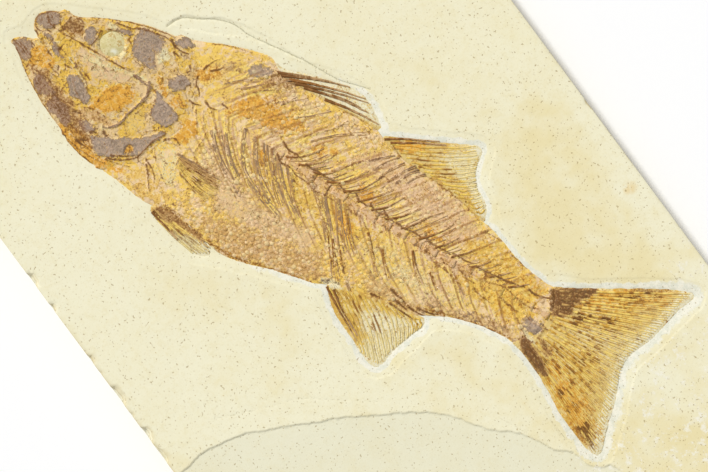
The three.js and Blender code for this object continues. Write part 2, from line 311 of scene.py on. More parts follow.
def triangles(loops, inner):
    # Triangles inside the loops and through the inner points, all turned the same way round.
    edges = loopEdges(loops)
    given = [Vector(place) for place in np.vstack([*loops, inner])]
    result = delaunay_2d_cdt(given, edges, [], 2, 1e-5, False)
    spots = np.array([tuple(place) for place in result[0]])
    faces = np.array(result[2], int)
    # Those that bridge a bay of the outline have all three corners on it, and their middle lies outside.
    doubtful = np.flatnonzero((faces < len(edges)).all(axis=1))
    crossed = sum(insideOf(spots[faces[doubtful]].mean(axis=1), loop).astype(int) for loop in loops)
    faces = np.delete(faces, doubtful[crossed % 2 == 0], axis=0)
    first = spots[faces[:, 1]] - spots[faces[:, 0]]
    second = spots[faces[:, 2]] - spots[faces[:, 0]]
    wrong = first[:, 0] * second[:, 1] - first[:, 1] * second[:, 0] < 0
    faces[wrong] = faces[wrong][:, ::-1]
    return spots, faces


def placed(name, data):
    piece = bpy.data.objects.new(name, data)
    bpy.context.scene.collection.objects.link(piece)
    return piece


def meshFrom(name, places, faces, material):
    mesh = bpy.data.meshes.new(name)
    mesh.from_pydata((np.array(places) * mm).tolist(), [], faces)
    mesh.shade_smooth()
    mesh.materials.append(material)
    return placed(name, mesh)


def sheetMesh(name, loops, inner, topHeight, bottom, material):
    # A closed sheet: a relief on top, a flat underside, and a rim between their edges.
    top, topFaces = triangles(loops, inner)
    under, underFaces = triangles(loops, np.zeros((0, 2)))
    rim = np.array(loopEdges(loops))
    places = np.vstack([
        np.column_stack([top, topHeight(top)]),
        np.column_stack([under, np.full(len(under), bottom)]),
    ])
    wall = np.column_stack([rim + len(top), rim[:, ::-1]])
    faces = topFaces.tolist() + (underFaces[:, ::-1] + len(top)).tolist() + wall.tolist()
    return meshFrom(name, places, faces, material)


def setField(piece, name, values):
    layer = piece.data.attributes.get(name) or piece.data.attributes.new(name, "FLOAT", "POINT")
    layer.data.foreach_set("value", np.asarray(values, np.float32))


def placesOf(piece):
    places = np.zeros(len(piece.data.vertices) * 3, np.float32)
    piece.data.vertices.foreach_get("co", places)
    return places.reshape(-1, 3).astype(float) / mm


# What shows on the fish. Ink is dark brown, violet the grey sheen of thick bone, amber bright orange, cream
# bare matrix, blush pinkish tan, umber dull brown and gold yellow. Each stroke has a width, a rise that lifts
# the surface or cuts into it, its stains and its paths. A patch has the softness of its edge and an outline.
stainKinds = ("ink", "violet", "amber", "cream", "blush", "umber", "gold")
columnPath = [83, 14.4, 100, 12.6, 121, 9.2, 140, 7, 160, 4.4, 180, 3, 205, 2, 230, 1.2, 250, 0.6]
strokes = {
    "roofLine": (1.3, 0.1, {"ink": 0.95}, [[20, 21.8, 25, 24, 30, 26.2, 36, 28.2, 42, 29.8, 48, 31.2, 55,
        32, 60.5, 32.4], [44, 28.6, 49, 30, 55, 30.6, 60, 30.4, 66, 27.2], [36, 26.6, 41, 27, 45.6,
        28.6]]),
    "snoutLines": (1.1, 0.08, {"ink": 0.9}, [[4.8, 12.4, 5.6, 15, 8, 17.4, 11, 19, 14, 20.4], [5, 11.6, 6,
        9.4, 9.4, 8.8, 11, 10.4], [8.5, 16, 10.4, 13.6, 13.6, 13], [15.4, 12.6, 17.8, 12.2, 22, 12.2, 26,
        12], [17.6, 20, 17, 17, 15.8, 14], [20, 20.6, 23.6, 21, 24.6, 17.6, 22, 16]]),
    "jawSpots": (1.5, -0.1, {"ink": 1}, [[7, 7.9, 8.8, 6.9], [11.6, 10.4, 13.4, 10.3], [13, 13.8, 13.8,
        12.4], [24.8, 1, 27.8, 0.7], [19.4, 5.4, 20.2, 8.4], [22.6, -0.8, 22.8, -2.6], [8, 2.6, 9.4, 2.2],
        [16, 2.6, 18, 1.8], [16.4, 12.6, 17.6, 14.4]]),
    "underEye": (1, 0.12, {"ink": 0.85}, [[26, 12.1, 32, 11.5, 39, 11.4, 45, 11.3, 50, 11.7], [39, 10.9,
        44, 11.3, 50, 10.9], [33.4, 22.6, 36, 23.4, 39, 23.3], [31.2, 20.6, 31.4, 17, 30.4, 13], [43.4,
        22.8, 45.8, 21]]),
    "maxillaLines": (1.1, 0.1, {"ink": 0.45, "violet": 0.8}, [[11, 7.8, 15.4, 6.6, 19, 5, 22, 3, 25.4,
        1.4], [30, -3, 33, -6, 37, -9.4, 40.6, -9.2], [28, 3.4, 33, 0.4, 36.6, -2.2, 38.4, -5.4, 38.6,
        -9]]),
    "maxillaEdge": (0.9, 0.1, {"cream": 0.9}, [[24.4, 4.6, 29, 1.8, 33, -0.4, 36.4, -3, 38, -7], [31, 10.6,
        37, 10.2, 43, 9.8, 49, 10.3], [70, 6, 73.6, 2, 77, -1.6], [28.4, -3.4, 31, -6.4, 33.4, -8.8]]),
    "dentaryLines": (1, 0.1, {"ink": 0.8}, [[0.4, 0.6, 3.4, -0.6, 7.6, -2, 11, -4.4], [3.2, 0.6, 7.4, -1,
        10.4, -2.4], [3, -2, 7, -6, 12, -10.2, 17, -13.6, 23, -17.2, 27, -19.6], [18.2, -1.8, 21, -3.4,
        24.4, -3.8, 24.2, -5.4, 20.8, -5, 17.4, -3.8], [24.6, -11.4, 29, -13.6, 34, -14.2, 40, -13.2], [25,
        -14.8, 30, -16.8, 35, -18.2, 38.6, -20.6], [28, -15.2, 32, -16.8, 35.4, -17.2], [13, -6.6, 17,
        -6.8, 22, -7.8, 26, -10.4]]),
    "throatRays": (1.1, 0.14, {"ink": 0.75, "amber": 0.6}, [[30, -21.6, 36, -24.6, 42, -26.8, 48, -28.2,
        54, -28.6, 58, -28], [32, -22.6, 38, -26, 44, -28.6, 50, -30.2, 54, -30.6], [42, -24, 47, -25.6,
        52, -26.4], [58, -26.4, 63, -26, 68, -24.6], [44, -22.4, 47.4, -24.8, 51, -25.2]]),
    "throatSpots": (2.2, -0.1, {"ink": 1}, [[43.4, -25, 47.4, -25.4], [45, -23.6, 47.4, -23], [47.6, -19.2,
        49.6, -18], [37.4, -14.6, 40, -14.2], [52, -16.8, 54, -17.4], [50, -30.4, 51.2, -30.2]]),
    "preopercle": (2, 0.26, {"ink": 0.4, "violet": 1}, [[59.4, 10.6, 60.8, 7, 60.9, 3, 59.2, -1, 57.4, -5,
        56.6, -8.4], [57, -8.4, 56, -11, 54, -13.4, 50.8, -14.8], [53, 10.4, 57, 9.6, 61.6, 9]]),
    "cheekLines": (0.8, 0.08, {"ink": 0.6}, [[40.6, -10.4, 46, -10.2, 52, -10.4, 55.6, -10], [28, 5, 32, 2,
        37, 0, 40.4, -3.4], [62.6, 10.4, 64, 12, 63.4, 15], [49.6, 15, 53.6, 15.8], [45, 15.2, 46.4, 14.6],
        [63.4, 8.6, 65.4, 4, 66.4, -2, 68, -6.4], [66.6, -9.4, 70.4, -5.8, 76.4, -4.8], [50, -21, 47.8,
        -19.4, 51, -17.6, 56, -16.8]]),
    "gillEdge": (1.5, 0.1, {"ink": 0.85, "umber": 0.7}, [[58, -26, 63, -24.2, 67, -21.6, 70, -18.4, 71.2,
        -14, 71.8, -10, 75.6, -5.6], [59, -24, 63, -22.4, 66.4, -20.4], [73.2, -18.6, 76.6, -20.6, 79, -23,
        80.6, -25.6], [74, -20.4, 77, -24.6, 80.4, -29.6], [76, -8, 79.4, -4.6, 83, -6.8]]),
    "napeLines": (1.5, 0.06, {"ink": 1}, [[61.6, 29.2, 64.4, 28.4, 68.4, 29], [62.8, 26.8, 64.8, 26.2],
        [59.4, 30.8, 62.4, 28.2], [77.2, 26, 78.4, 29, 80.2, 32], [80.4, 26.8, 82.6, 28.8, 84.2, 30.8],
        [71.2, 25, 72.6, 23.2, 71.4, 21.4], [76.2, 22, 76.8, 19, 79.4, 17.6, 80.6, 15], [78, 12, 80, 11.2,
        83, 12.2], [84, 14.6, 87, 13, 90, 13.4], [91, 16.8, 93.6, 16]]),
    "columnTop": (1.8, 0.06, {"ink": 0.95, "amber": 0.6}, [[121, 8.4, 124, 5.8, 128, 6.6, 131.4, 4.6, 137,
        4.2], [121, 14.6, 124.4, 12.4, 128, 12.6, 131.6, 11.4], [133.6, 10.6, 138, 10, 143, 9.8, 149.6,
        9.8, 152, 8.2, 156, 8.4], [157.6, 9.4, 160, 7.4, 164, 7, 166.6, 7.6], [165.4, 8.4, 168.6, 6.4, 172,
        6.8], [171.6, 8.6, 174.6, 6.6, 178, 6.2], [178.4, 6.4, 183, 5.7, 187, 6, 191, 5.6], [191.4, 7.6,
        193.6, 5.6, 197, 5.2, 201.6, 5.2, 205, 5], [206, 5.8, 211, 5.4, 215, 6], [217, 5.4, 222, 5.2, 227,
        5.6, 233, 6, 239, 7], [241, 7, 246, 6.2, 251, 8]]),
    "columnBottom": (2.2, 0.06, {"ink": 0.62, "umber": 0.5}, [[129, 3.8, 132, 2.4, 134, 1.2], [138, 4.6,
        141, 2.2, 146, 3, 152, 2.4, 156, 1.4], [156.4, 3.2, 160, 1, 164, 2, 167, -0.6, 169.4, -1.4], [195,
        1.2, 198, 0, 201.4, -1.4, 204, 0.6], [205, -1.6, 209, -3, 214, -4.6], [212, 1.2, 216, -1.4, 219,
        -1], [220, -3, 225, -5, 230, -5.4], [222, 1.8, 226, 2, 231, 3.4, 236, 2], [222, 4.4, 222.4, 2.6],
        [214, 4, 216, 2.6], [231, -1, 236, -2.6, 241, -3.4], [238, 1.4, 243, 0.4, 248, 1.2]]),
    "bellyEdge": (3.2, 0, {"ink": 0.55, "amber": 0.7, "umber": 0.6}, [[112, -37.2, 120, -38.4, 127, -37.8,
        134, -36.6, 142, -34.8, 150, -33.4, 158, -32.4], [205, -20.4, 213, -18.8, 221, -17.6, 229, -16.2,
        238, -14.6, 246, -14.8]]),
    "backEdge": (1.8, 0, {"ink": 0.55, "umber": 0.5}, [[76, 37.6, 84, 40.4, 92, 41.8], [138, 37.4, 143,
        38.6, 151, 36], [183, 29.4, 190, 28.4, 198, 27, 205, 24.8, 209.6, 22.6], [213, 20.4, 222, 19.8],
        [228, 16.4, 236, 14.6], [242, 13.6, 249, 13, 256, 16], [162.6, 34, 168, 31.4]]),
    "analBase": (1.8, 0.1, {"ink": 1, "amber": 0.3}, [[189.6, -19.8, 196, -21.4, 202, -23.4, 208.6, -23],
        [191.6, -25, 197, -25.8, 204, -26.6], [203, -21.4, 209, -21, 212, -19.6], [183, -25.4, 188, -24.8],
        [192, -22.6, 199, -24]]),
    "hypural": (1.4, 0.12, {"ink": 0.6, "violet": 0.5}, [[243, -2.4, 248, -4.6, 253.6, -4.4], [254, -3.8,
        254.2, -7, 253.2, -10.4], [242, -6, 247, -10, 251, -13], [252, 5.4, 254, 2.8, 255.4, 0.8], [254.6,
        -0.2, 260, -0.4, 266, -0.6], [254, -4.2, 259, -4.4, 264, -4.4]]),
    "scapula": (1, 0.12, {"ink": 0.55, "umber": 0.5}, [[82, 9.4, 84.6, 5, 86.6, 1], [79.4, 12, 81, 8], [85,
        10.6, 87.4, 6.4, 88.6, 2.4], [90.4, 3.6, 90.6, -2, 89, -7.4], [86.4, -9, 84.6, -13, 86, -17], [77,
        -8.6, 80, -7.4, 84, -7.8], [74, -13, 77, -17.6, 81, -21, 86, -25]]),
}

patches = {
    "premaxilla": (0.7, 0.14, {"violet": 0.9, "ink": 0.2}, [4.8, 13.4, 6.6, 16.8, 10.4, 18.6, 14.2, 19,
        14.6, 15, 12.4, 10.6, 8, 10.6, 5.6, 11.2]),
    "jawTip": (0.7, 0.1, {"violet": 0.85, "ink": 0.25}, [0, 0, 3, 2.5, 7, 3.8, 9.4, 2.4, 9, -1, 11, -3.6,
        8, -6, 4, -3.6, 1, -1.8]),
    "jawOrange": (1.2, 0.05, {"amber": 0.85}, [9.6, 3.2, 17, 3.2, 21, 0.4, 20.6, -3.4, 16, -6.2, 11, -5.6,
        8.6, -2]),
    "dentary": (0.9, 0.12, {"violet": 0.95}, [13, -7.6, 18, -7.2, 23.4, -8.8, 27, -12, 24, -13.4, 22.4,
        -15.6, 16.4, -12.2]),
    "angular": (0.9, 0.12, {"violet": 1}, [26, -12.4, 31, -14.4, 35, -14.8, 37.4, -17.4, 37, -20.4, 38.4,
        -22.8, 31.6, -20.8, 26, -18.2, 24.4, -15.4]),
    "maxillaPaddle": (0.7, 0.16, {"violet": 1}, [27, -1.2, 32, -2, 37, -1.8, 40, -5, 41.2, -8.8, 39, -10,
        34.6, -9.4, 31, -7.4]),
    "maxillaShaft": (0.6, 0.14, {"violet": 0.9}, [10, 8.8, 15, 7.6, 20, 5.6, 24.4, 3.4, 23.4, 1.8, 18, 4,
        12.6, 6.2]),
    "nasal": (0.6, 0.12, {"violet": 0.85}, [25.4, 13, 30.6, 12.8, 31, 17, 30.4, 20.8, 27, 21, 25.2, 18]),
    "snoutBrown": (1.4, 0.04, {"ink": 0.6, "amber": 0.4, "umber": 0.9}, [16.4, 13.6, 20, 13.8, 24.4, 15,
        24.6, 19.6, 22.4, 21.4, 18, 20.6, 16.2, 17]),
    "snoutTan": (1, 0, {"umber": 0.6, "blush": 0.5}, [24, 21.6, 29, 21.4, 34, 24.6, 33, 26.4, 28, 24.8]),
    "roofPlate": (0.9, 0.12, {"violet": 0.9, "blush": 0.3}, [45, 22.4, 46.6, 18, 53, 16, 59.6, 15, 60,
        18.4, 55.4, 20, 59, 23.8, 57.4, 27, 59, 30, 51, 30.8, 45.6, 29.6, 46.2, 25.8]),
    "templeOrange": (1.4, 0.04, {"amber": 0.8, "blush": 0.6}, [62, 15, 66, 12.4, 71, 10.6, 77, 10, 77.4,
        6.4, 71, 7, 64, 10]),
    "jawBrown": (1.6, 0, {"umber": 1, "ink": 0.46}, [9, -4, 20, -5.4, 29, -9.4, 38, -13, 46, -19, 54, -26,
        44, -26, 32, -21, 22, -15.6, 13, -9]),
    "browPlate": (0.7, 0.12, {"violet": 0.9, "ink": 0.15}, [35.6, 24.6, 39, 23.6, 43.6, 24, 45.4, 25.6, 40,
        26.8, 36, 26]),
    "earStone": (0.8, 0.08, {"cream": 1}, [55.6, 25.4, 58.4, 26.8, 61.2, 25.6, 61.4, 21.6, 59.4, 19.8, 57,
        22]),
    "napePlate": (0.7, 0.12, {"violet": 1}, [60.8, 31, 64, 30.2, 68.6, 31.6, 70.4, 33.6, 66, 34.2, 62,
        33.6]),
    "posttemporal": (0.8, 0.14, {"violet": 1}, [66.2, 14.6, 70, 12, 74.2, 13.6, 75, 17.6, 71, 20.6, 67.6,
        18]),
    "napeYellow": (2, 0, {"gold": 0.7, "umber": 0.7, "cream": 0.3, "ink": 0.16}, [62, 17, 70, 21, 76, 27,
        84, 34, 92, 36, 88, 28, 78, 20, 70, 14]),
    "cheekPink": (1.4, 0.04, {"blush": 1, "cream": 0.4}, [27, 10.4, 38, 10.4, 45, 9.2, 53, 9, 51, 4.4, 43,
        2.4, 35, 2.6, 29, 5.4]),
    "cheekYellow": (1, 0.03, {"gold": 0.8, "cream": 0.7}, [30, 6, 33, 9.4, 41, 10, 50, 10.6, 56, 13, 59,
        10, 50, 8, 42, 8.2, 35, 6]),
    "orbitRim": (1, 0.05, {"cream": 0.7, "gold": 0.5}, [31, 24.6, 36, 22.8, 33, 20, 31.6, 14, 34, 12.4, 46,
        12.6, 45, 18, 42, 22.6, 40, 26, 34, 27]),
    "cheekOrange": (1.5, 0.1, {"amber": 1, "gold": 0.6}, [41, -8.6, 42, -3, 45, 1.4, 50, 4, 57, 3.6, 57.2,
        -2, 54, -6, 48, -9]),
    "jugalTan": (1.2, 0, {"umber": 0.75, "blush": 0.6}, [41, -10.2, 49, -9.6, 55.4, -10.4, 54.4, -13.4, 50,
        -15, 42, -15.4, 37, -13.4]),
    "hyoid": (0.9, 0.08, {"violet": 0.85, "blush": 1}, [39, -16.4, 46, -15.4, 50, -17, 47.4, -20.4, 41.6,
        -20.6]),
    "throatOrange": (1.4, 0, {"amber": 0.95}, [31, -21.6, 39, -19.6, 43, -21, 48, -24, 58, -27.6, 66,
        -25.4, 68, -28, 58, -31, 48, -30.4, 38, -26.6]),
    "opercle": (0.7, 0.18, {"violet": 1, "blush": 0.5}, [63, 9, 68, 7.4, 74, 5.6, 77.8, 2.6, 76.8, -0.8,
        70, -4.2, 66.4, -1.4, 64.4, 4]),
    "behindPreopercle": (1.2, 0.02, {"gold": 1, "cream": 0.3}, [58.6, -3, 62, 1, 65, -2, 67.6, -6.4, 65,
        -11, 60, -12, 57.6, -8]),
    "subopercle": (0.8, 0.16, {"violet": 1}, [48, -20.4, 51.4, -18.6, 57, -16.8, 61, -13.8, 65.6, -13.4,
        69.4, -8.4, 73, -5, 75.6, -5.2, 72.6, -10, 71.4, -15.4, 69, -19.4, 63.6, -21.6, 57.6, -25.4, 53,
        -26.4, 49.6, -24]),
    "subopercleWindow": (0.8, -0.2, {"amber": 1, "violet": -1}, [62.6, -17, 64.6, -15.6, 66.6, -18, 65.8,
        -20, 63.4, -20]),
    "shoulderOrange": (1.2, 0.05, {"amber": 0.95, "gold": 0.8}, [79.4, -6.4, 80, 2, 83, 5.6, 87, 3, 87.2,
        -4, 84, -7]),
    "shoulderCream": (2.2, -0.05, {"cream": 0.55}, [74, -8.6, 84, -8, 85, -14, 90, -22, 91, -27, 84, -25,
        77, -17, 72.6, -12]),
    "throatTan": (1.8, 0, {"blush": 0.6, "gold": 0.5}, [73, -20, 80, -21, 90, -28, 92, -33, 80, -34.6, 68,
        -31.6, 69, -25]),
    "backAmber": (2, 0.04, {"amber": 1}, [92, 15.6, 100, 16.4, 112, 17, 124, 20.6, 127.4, 23, 119, 26.4,
        108, 28, 98, 24]),
    "backAmberSmall": (1.8, 0.03, {"amber": 0.9}, [133, 16, 141, 18.6, 144, 22, 138, 21, 133, 19]),
    "nuchalAmber": (1.6, 0, {"amber": 0.75}, [75.6, 20, 84, 24, 85.6, 31, 80, 29, 75, 25]),
    "finBaseViolet": (1.2, 0.08, {"violet": 0.9}, [93.4, 33, 98, 33, 103.4, 36.4, 103, 39.4, 98, 38.6, 94,
        36.4]),
    "finBaseGrains": (2, 0.05, {"ink": 0.42, "umber": 0.5, "cream": 0.25}, [101, 31, 109, 30, 113, 33.6,
        119, 37.6, 117, 41, 108, 41.4, 102, 38]),
    "middleTan": (3, 0, {"blush": 0.8}, [104, 12, 120, 12, 131, 14, 131, 6, 122, 3, 110, 8]),
    "rearTan": (3, 0, {"blush": 0.95}, [147, 22, 160, 30, 185, 28, 208, 23, 216, 17, 210, 10, 196, 11, 186,
        16, 170, 17, 156, 20]),
    "column": (1.6, 0, {"blush": 0.7, "violet": 0.2, "amber": 0.34}, [122, 12, 135, 9.4, 150, 8.4, 160,
        6.4, 180, 5.2, 205, 4.6, 232, 4.4, 232, -1.4, 210, -1.6, 190, -0.2, 168, 1, 150, 3, 134, 5, 122,
        7]),
    "columnAmber": (1.4, 0, {"amber": 0.8}, [157.6, 13, 160, 8.4, 164, 7.6, 167, 9.4, 165, 13, 161, 14.6]),
    "columnAmberRear": (1.4, 0, {"amber": 0.7}, [190, 12, 193, 7, 198, 6.6, 200, 9, 195, 12.6]),
    "flankGold": (2.6, 0, {"gold": 0.95}, [113, 8, 120, 5, 136, 2, 156, 0.6, 176, -1, 178, -6, 166, -12,
        156, -9, 142, -6, 128, -6, 118, -3]),
    "flankAmber": (1.6, 0, {"amber": 0.95}, [152, 1, 158, 0.4, 163, -3, 165.4, -9, 160, -10, 155, -5]),
    "flankAmberSmall": (1.2, 0, {"amber": 0.85}, [113.6, 7.6, 117, 6, 119.6, 3, 117, 1.6, 114, 4]),
    "flankPale": (3, 0, {"cream": 0.5, "gold": 0.3}, [172, -8, 184, -7, 198, -8, 206, -12, 200, -17, 186,
        -17, 176, -14]),
    "bellyViolet": (3, 0, {"cream": 0.3, "blush": 0.9}, [92, -1, 100, -2, 108, -8, 120, -12, 134, -14, 148,
        -13, 154, -15, 150, -21, 134, -23, 118, -24, 106, -24, 106, -15, 96, -8]),
    "bellyUmber": (3, 0, {"umber": 0.75}, [104, -26, 120, -24, 140, -22, 158, -18, 164, -27, 160, -32.6,
        142, -36, 124, -39, 108, -37]),
    "tailUmber": (2, 0, {"umber": 0.9, "violet": 0.35}, [203, -13, 214, -14, 224, -12.4, 236, -10.4, 246,
        -11, 246, -15, 232, -16.6, 214, -19, 204, -21]),
    "analPlateUmber": (1.8, 0, {"umber": 0.9}, [178, -18, 190, -18, 203, -21, 206, -24, 190, -25, 180,
        -25]),
    "tailGold": (3, 0, {"gold": 1, "amber": 0.25}, [206, 15, 222, 18, 238, 13, 250, 10, 246, 2, 250, -5,
        240, -8, 224, -9, 206, -4, 224, 4, 214, 8]),
    "rearPale": (5, 0, {"cream": 0.42, "gold": 0.4}, [168, -6, 184, -2, 204, -3, 228, -7, 222, -14, 204,
        -20, 184, -22, 172, -16]),
    "ventGrey": (1.2, 0.05, {"cream": 0.9, "violet": 0.3}, [161, -28.4, 166, -26, 173, -28.4, 170, -30.6,
        163, -31]),
    "hypuralPlate": (0.8, 0.12, {"violet": 0.95, "blush": 0.5}, [244, -3, 249, -3.6, 254, -4, 254, -9.4,
        250, -9.6, 245.6, -8]),
    "tailRootPale": (1, 0, {"cream": 0.9}, [246.6, -9.4, 251, -10, 256, -13, 253, -12.4, 248, -11.6]),
    "tailRootUpper": (1, 0.1, {"ink": 0.72, "umber": 1, "violet": 0.5}, [249, 12.4, 254, 15, 260, 18, 267,
        21.4, 266.4, 15.6, 262, 11.4, 261.4, 6, 257, 3, 254.6, 1.4, 251.6, 6, 250, 9]),
    "tailRootLower": (1, 0.1, {"ink": 0.72, "umber": 1, "violet": 0.6}, [247, -12, 252, -11.6, 258, -15,
        264, -18.6, 264.4, -22, 262, -24, 256, -20.6, 250, -17.6]),
    "tailRootMiddle": (0.9, 0.05, {"ink": 0.6, "umber": 0.9}, [254, -8, 258, -9.6, 262, -12, 261, -15, 256,
        -12.4]),
    "tailLowerAmber": (3.4, 0, {"amber": 0.62}, [262, -13, 272, -16, 284, -22, 293, -29, 297, -38, 290,
        -40, 280, -35, 270, -28.6, 264, -23]),
    "tailUpperAmber": (3.4, 0, {"amber": 0.5}, [263, 10, 268, 20, 278, 26, 292, 33.6, 300, 35, 296, 27,
        284, 20, 272, 13]),
    "tailPale": (3, 0, {"cream": 0.5}, [270, 6, 282, 9, 290, 17, 298, 22, 296, 12, 291, 3, 291, -7, 294,
        -20, 286, -12, 276, -4, 262, -2, 264, 3]),
    "tailTipUpper": (2, 0.02, {"ink": 0.62}, [281, 24, 288, 28, 294, 33, 296, 35, 288, 32, 281, 29]),
    "tailTipLower": (2.6, 0.02, {"ink": 0.66}, [284, -26, 291, -29, 296, -37, 298, -41, 290, -39, 283, -35,
        288, -33]),
    "tailDashes": (1.6, 0, {"ink": 0.5}, [262, 4, 270, 6, 277, 10, 284, 12, 278, 13, 270, 11, 262, 8]),
    "tailDashesUpper": (1.4, 0, {"ink": 0.55}, [274, 19, 282, 22, 287, 27, 282, 26, 275, 22]),
    "tailDashesLower": (1.6, 0, {"ink": 0.5}, [266, -21, 272, -24, 280, -30, 286, -36, 279, -32, 270,
        -26]),
    "softDorsalGold": (1.4, 0, {"amber": 0.8, "gold": 0.8}, [163, 34.6, 172, 36, 178, 43.4, 171, 41.2, 165,
        38.4]),
    "softDorsalPale": (2.5, 0, {"cream": 0.8}, [180, 38, 188, 36, 200, 32, 210, 27, 206, 34, 198, 42, 196,
        50, 186, 46]),
    "analPale": (2.5, 0, {"cream": 1}, [182, -32, 194, -28, 206, -28, 204, -38, 201, -50, 192, -50, 190,
        -42, 184, -38]),
    "pectoralRoot": (1, 0.1, {"ink": 0.5, "umber": 0.9, "violet": 0.4}, [83.6, -10.4, 92, -10.6, 100,
        -11.6, 106, -13, 99, -13.4, 90, -13, 86, -14]),
    "pectoralUpper": (2, 0, {"umber": 1.3, "ink": 0.5}, [84, -10, 94, -10.4, 104, -12, 106, -15.4, 98,
        -14.6, 90, -14.4, 86, -14]),
    "pelvicPale": (1.6, 0, {"cream": 1.2}, [94, -40.4, 106, -39.6, 116, -37.6, 118, -43, 111, -46, 100,
        -43.5]),
    "pelvicRoot": (1.4, 0.12, {"ink": 0.56, "umber": 1}, [84, -35.6, 88, -31, 96, -33.4, 104, -35, 112,
        -38, 114, -40.6, 106, -38.6, 96, -37.4, 90, -38]),
}

# Long thin bones under the skin. Each path becomes strands, and lifts and stains the skin round them.
bones = {
    "neuralSpines": (1.7, 0.08, {"ink": 0.8}, [[125, 9.6, 130, 11.6, 134, 16, 137, 20], [131, 9, 137, 12,
        141, 16.4, 143, 20], [138, 8.8, 144, 11, 148, 15.6, 151, 20], [145, 8, 150, 10, 154.6, 14.4, 158,
        20], [153, 7.6, 158.6, 11, 162, 16, 164.6, 21], [160, 6.6, 164, 10, 168, 14, 171, 18], [167, 6,
        172, 9.6, 175, 14, 177, 17.4], [174, 5.4, 179, 9, 182, 12.4, 185, 16], [181.5, 5, 184.5, 7, 188,
        12, 190, 15, 194, 19], [190, 4.6, 195, 9, 198, 13, 200, 17], [198, 4.4, 202, 8, 205, 13], [206,
        4.2, 210, 7.4, 213, 11.4], [215, 4, 219, 7, 222, 11], [224, 4, 228, 7, 231, 10], [233, 4, 237, 6.6,
        240, 9]]),
    "softFinRods": (1.7, 0.08, {"ink": 0.35, "violet": 0.6}, [[151, 20, 157, 25, 163, 29.5], [155, 22, 160,
        27, 165, 31], [160, 21.5, 163, 27, 167, 31], [163.5, 19.5, 166, 25, 170, 30], [167, 19, 170.6,
        25.4, 175, 31], [171, 21, 173.4, 26, 177, 30], [175, 23, 177, 27, 180, 30]]),
    "spinyFinRods": (1.7, 0.08, {"ink": 0.4, "violet": 0.5}, [[95, 26, 105, 34, 113, 39], [88, 25, 94,
        29.6, 100, 33], [100, 27, 105, 30.6, 110, 33], [107, 25, 115, 30.6, 122, 35], [113, 28, 118, 34],
        [120, 25, 130, 32, 133, 35], [128, 21, 138, 30, 141, 35], [131, 20, 140, 28, 150, 33.5]]),
    "ribs": (2.3, 0.1, {"violet": 0.6, "ink": 0.25}, [[104, 12, 107, 3, 112, -5, 120, -9, 133, -14], [92,
        5, 97, -2, 106, -9, 115, -14], [98, 6, 103, -2, 110, -8], [110, 10, 114, 2, 120, -5, 128, -10],
        [118, 10, 122, 3, 127, -4, 133, -9], [122, 8, 128, 0, 134, -6, 141, -11], [130, 4, 135, -4, 141,
        -9], [140, 4, 148, -3, 153, -9, 157, -14], [146, 3, 150, -3, 155, -10], [152, 4, 158, -6, 165,
        -15], [157, 2, 163, -8]]),
    "haemalSpines": (1.8, 0.08, {"ink": 0.55, "amber": 0.5}, [[158, 0, 164, -8, 170, -14], [155, -11, 160,
        -18, 165, -26], [158, -12, 163, -20, 168, -27], [163, -15, 168, -22, 174, -28], [170, -3, 175, -9,
        181, -17], [178, -6, 183, -12, 187, -16], [190, -1, 194, -7, 200, -12], [201, -6, 207, -11], [209,
        -1, 218, -7]]),
}


def markedFields(points, wander=0.4):
    # How high the marks lift the surface at each point, and how strongly each stain shows there.
    moved = points + wander * np.column_stack([grain(points, 2.6, 3, 3), grain(points, 2.6, 4, 3)])
    loose = points + 4.8 * wander * np.column_stack([grain(points, 4.6, 6, 4), grain(points, 4.6, 7, 4)])
    rise = np.zeros(len(points))
    stains = {kind: np.zeros(len(points)) for kind in stainKinds}
    marks = [(patchField(loose, outline, edge * 1.4), lift, tints)
             for edge, lift, tints, outline in patches.values()]
    marks += [(strokeField(moved, path, 1.2 * width), lift, tints)
              for width, lift, tints, paths in [*strokes.values(), *bones.values()] for path in paths]
    for field, lift, tints in marks:
        rise += lift * ramp(field, 0, 0.7)
        for kind, strength in tints.items():
            if strength < 0:
                stains[kind] *= 1 + strength * field
            else:
                stains[kind] = np.maximum(stains[kind], strength * field)
    return rise, stains


def muscleFlow(points):
    # A value that stays the same along each muscle line, how far out the point is and how much shows there.
    out = points[:, 1] - np.interp(points[:, 0], columnPath[::2], columnPath[1::2])
    far = np.abs(out)
    bent = np.where(out > 0, 0.8 * far, 0.62 * far + 0.024 * far ** 2)
    flow = points[:, 0] - bent + 0.9 * grain(points, 9, 71, 3)
    shown = ramp(points[:, 0], 78, 96) * ramp(-points[:, 0], -250, -236) * ramp(-far, -30, -16)
    return flow, far, shown * (0.75 + 0.25 * grain(points, 12, 72))


def stain(piece, cream=0):
    spots = toFish(placesOf(piece))
    fields = markedFields(spots)[1]
    fields["cream"] = np.maximum(fields["cream"], cream)
    fields.update(zip(("flow", "far", "lined"), muscleFlow(spots)))
    for kind, values in fields.items():
        setField(piece, kind, values)


# Node graphs, for finishes and for shapes alike.

class Wire:
    # An output socket. Arithmetic on it adds the Math nodes that do it.
    def __init__(self, graph, socket):
        self.graph = graph
        self.socket = socket

    def __add__(self, other):
        return self.graph.calc("ADD", self, other)

    def __sub__(self, other):
        return self.graph.calc("SUBTRACT", self, other)

    def __rsub__(self, other):
        return self.graph.calc("SUBTRACT", other, self)

    def __mul__(self, other):
        return self.graph.calc("MULTIPLY", self, other)

    def __truediv__(self, other):
        return self.graph.calc("DIVIDE", self, other)

    def __rtruediv__(self, other):
        return self.graph.calc("DIVIDE", other, self)

    __radd__ = __add__
    __rmul__ = __mul__


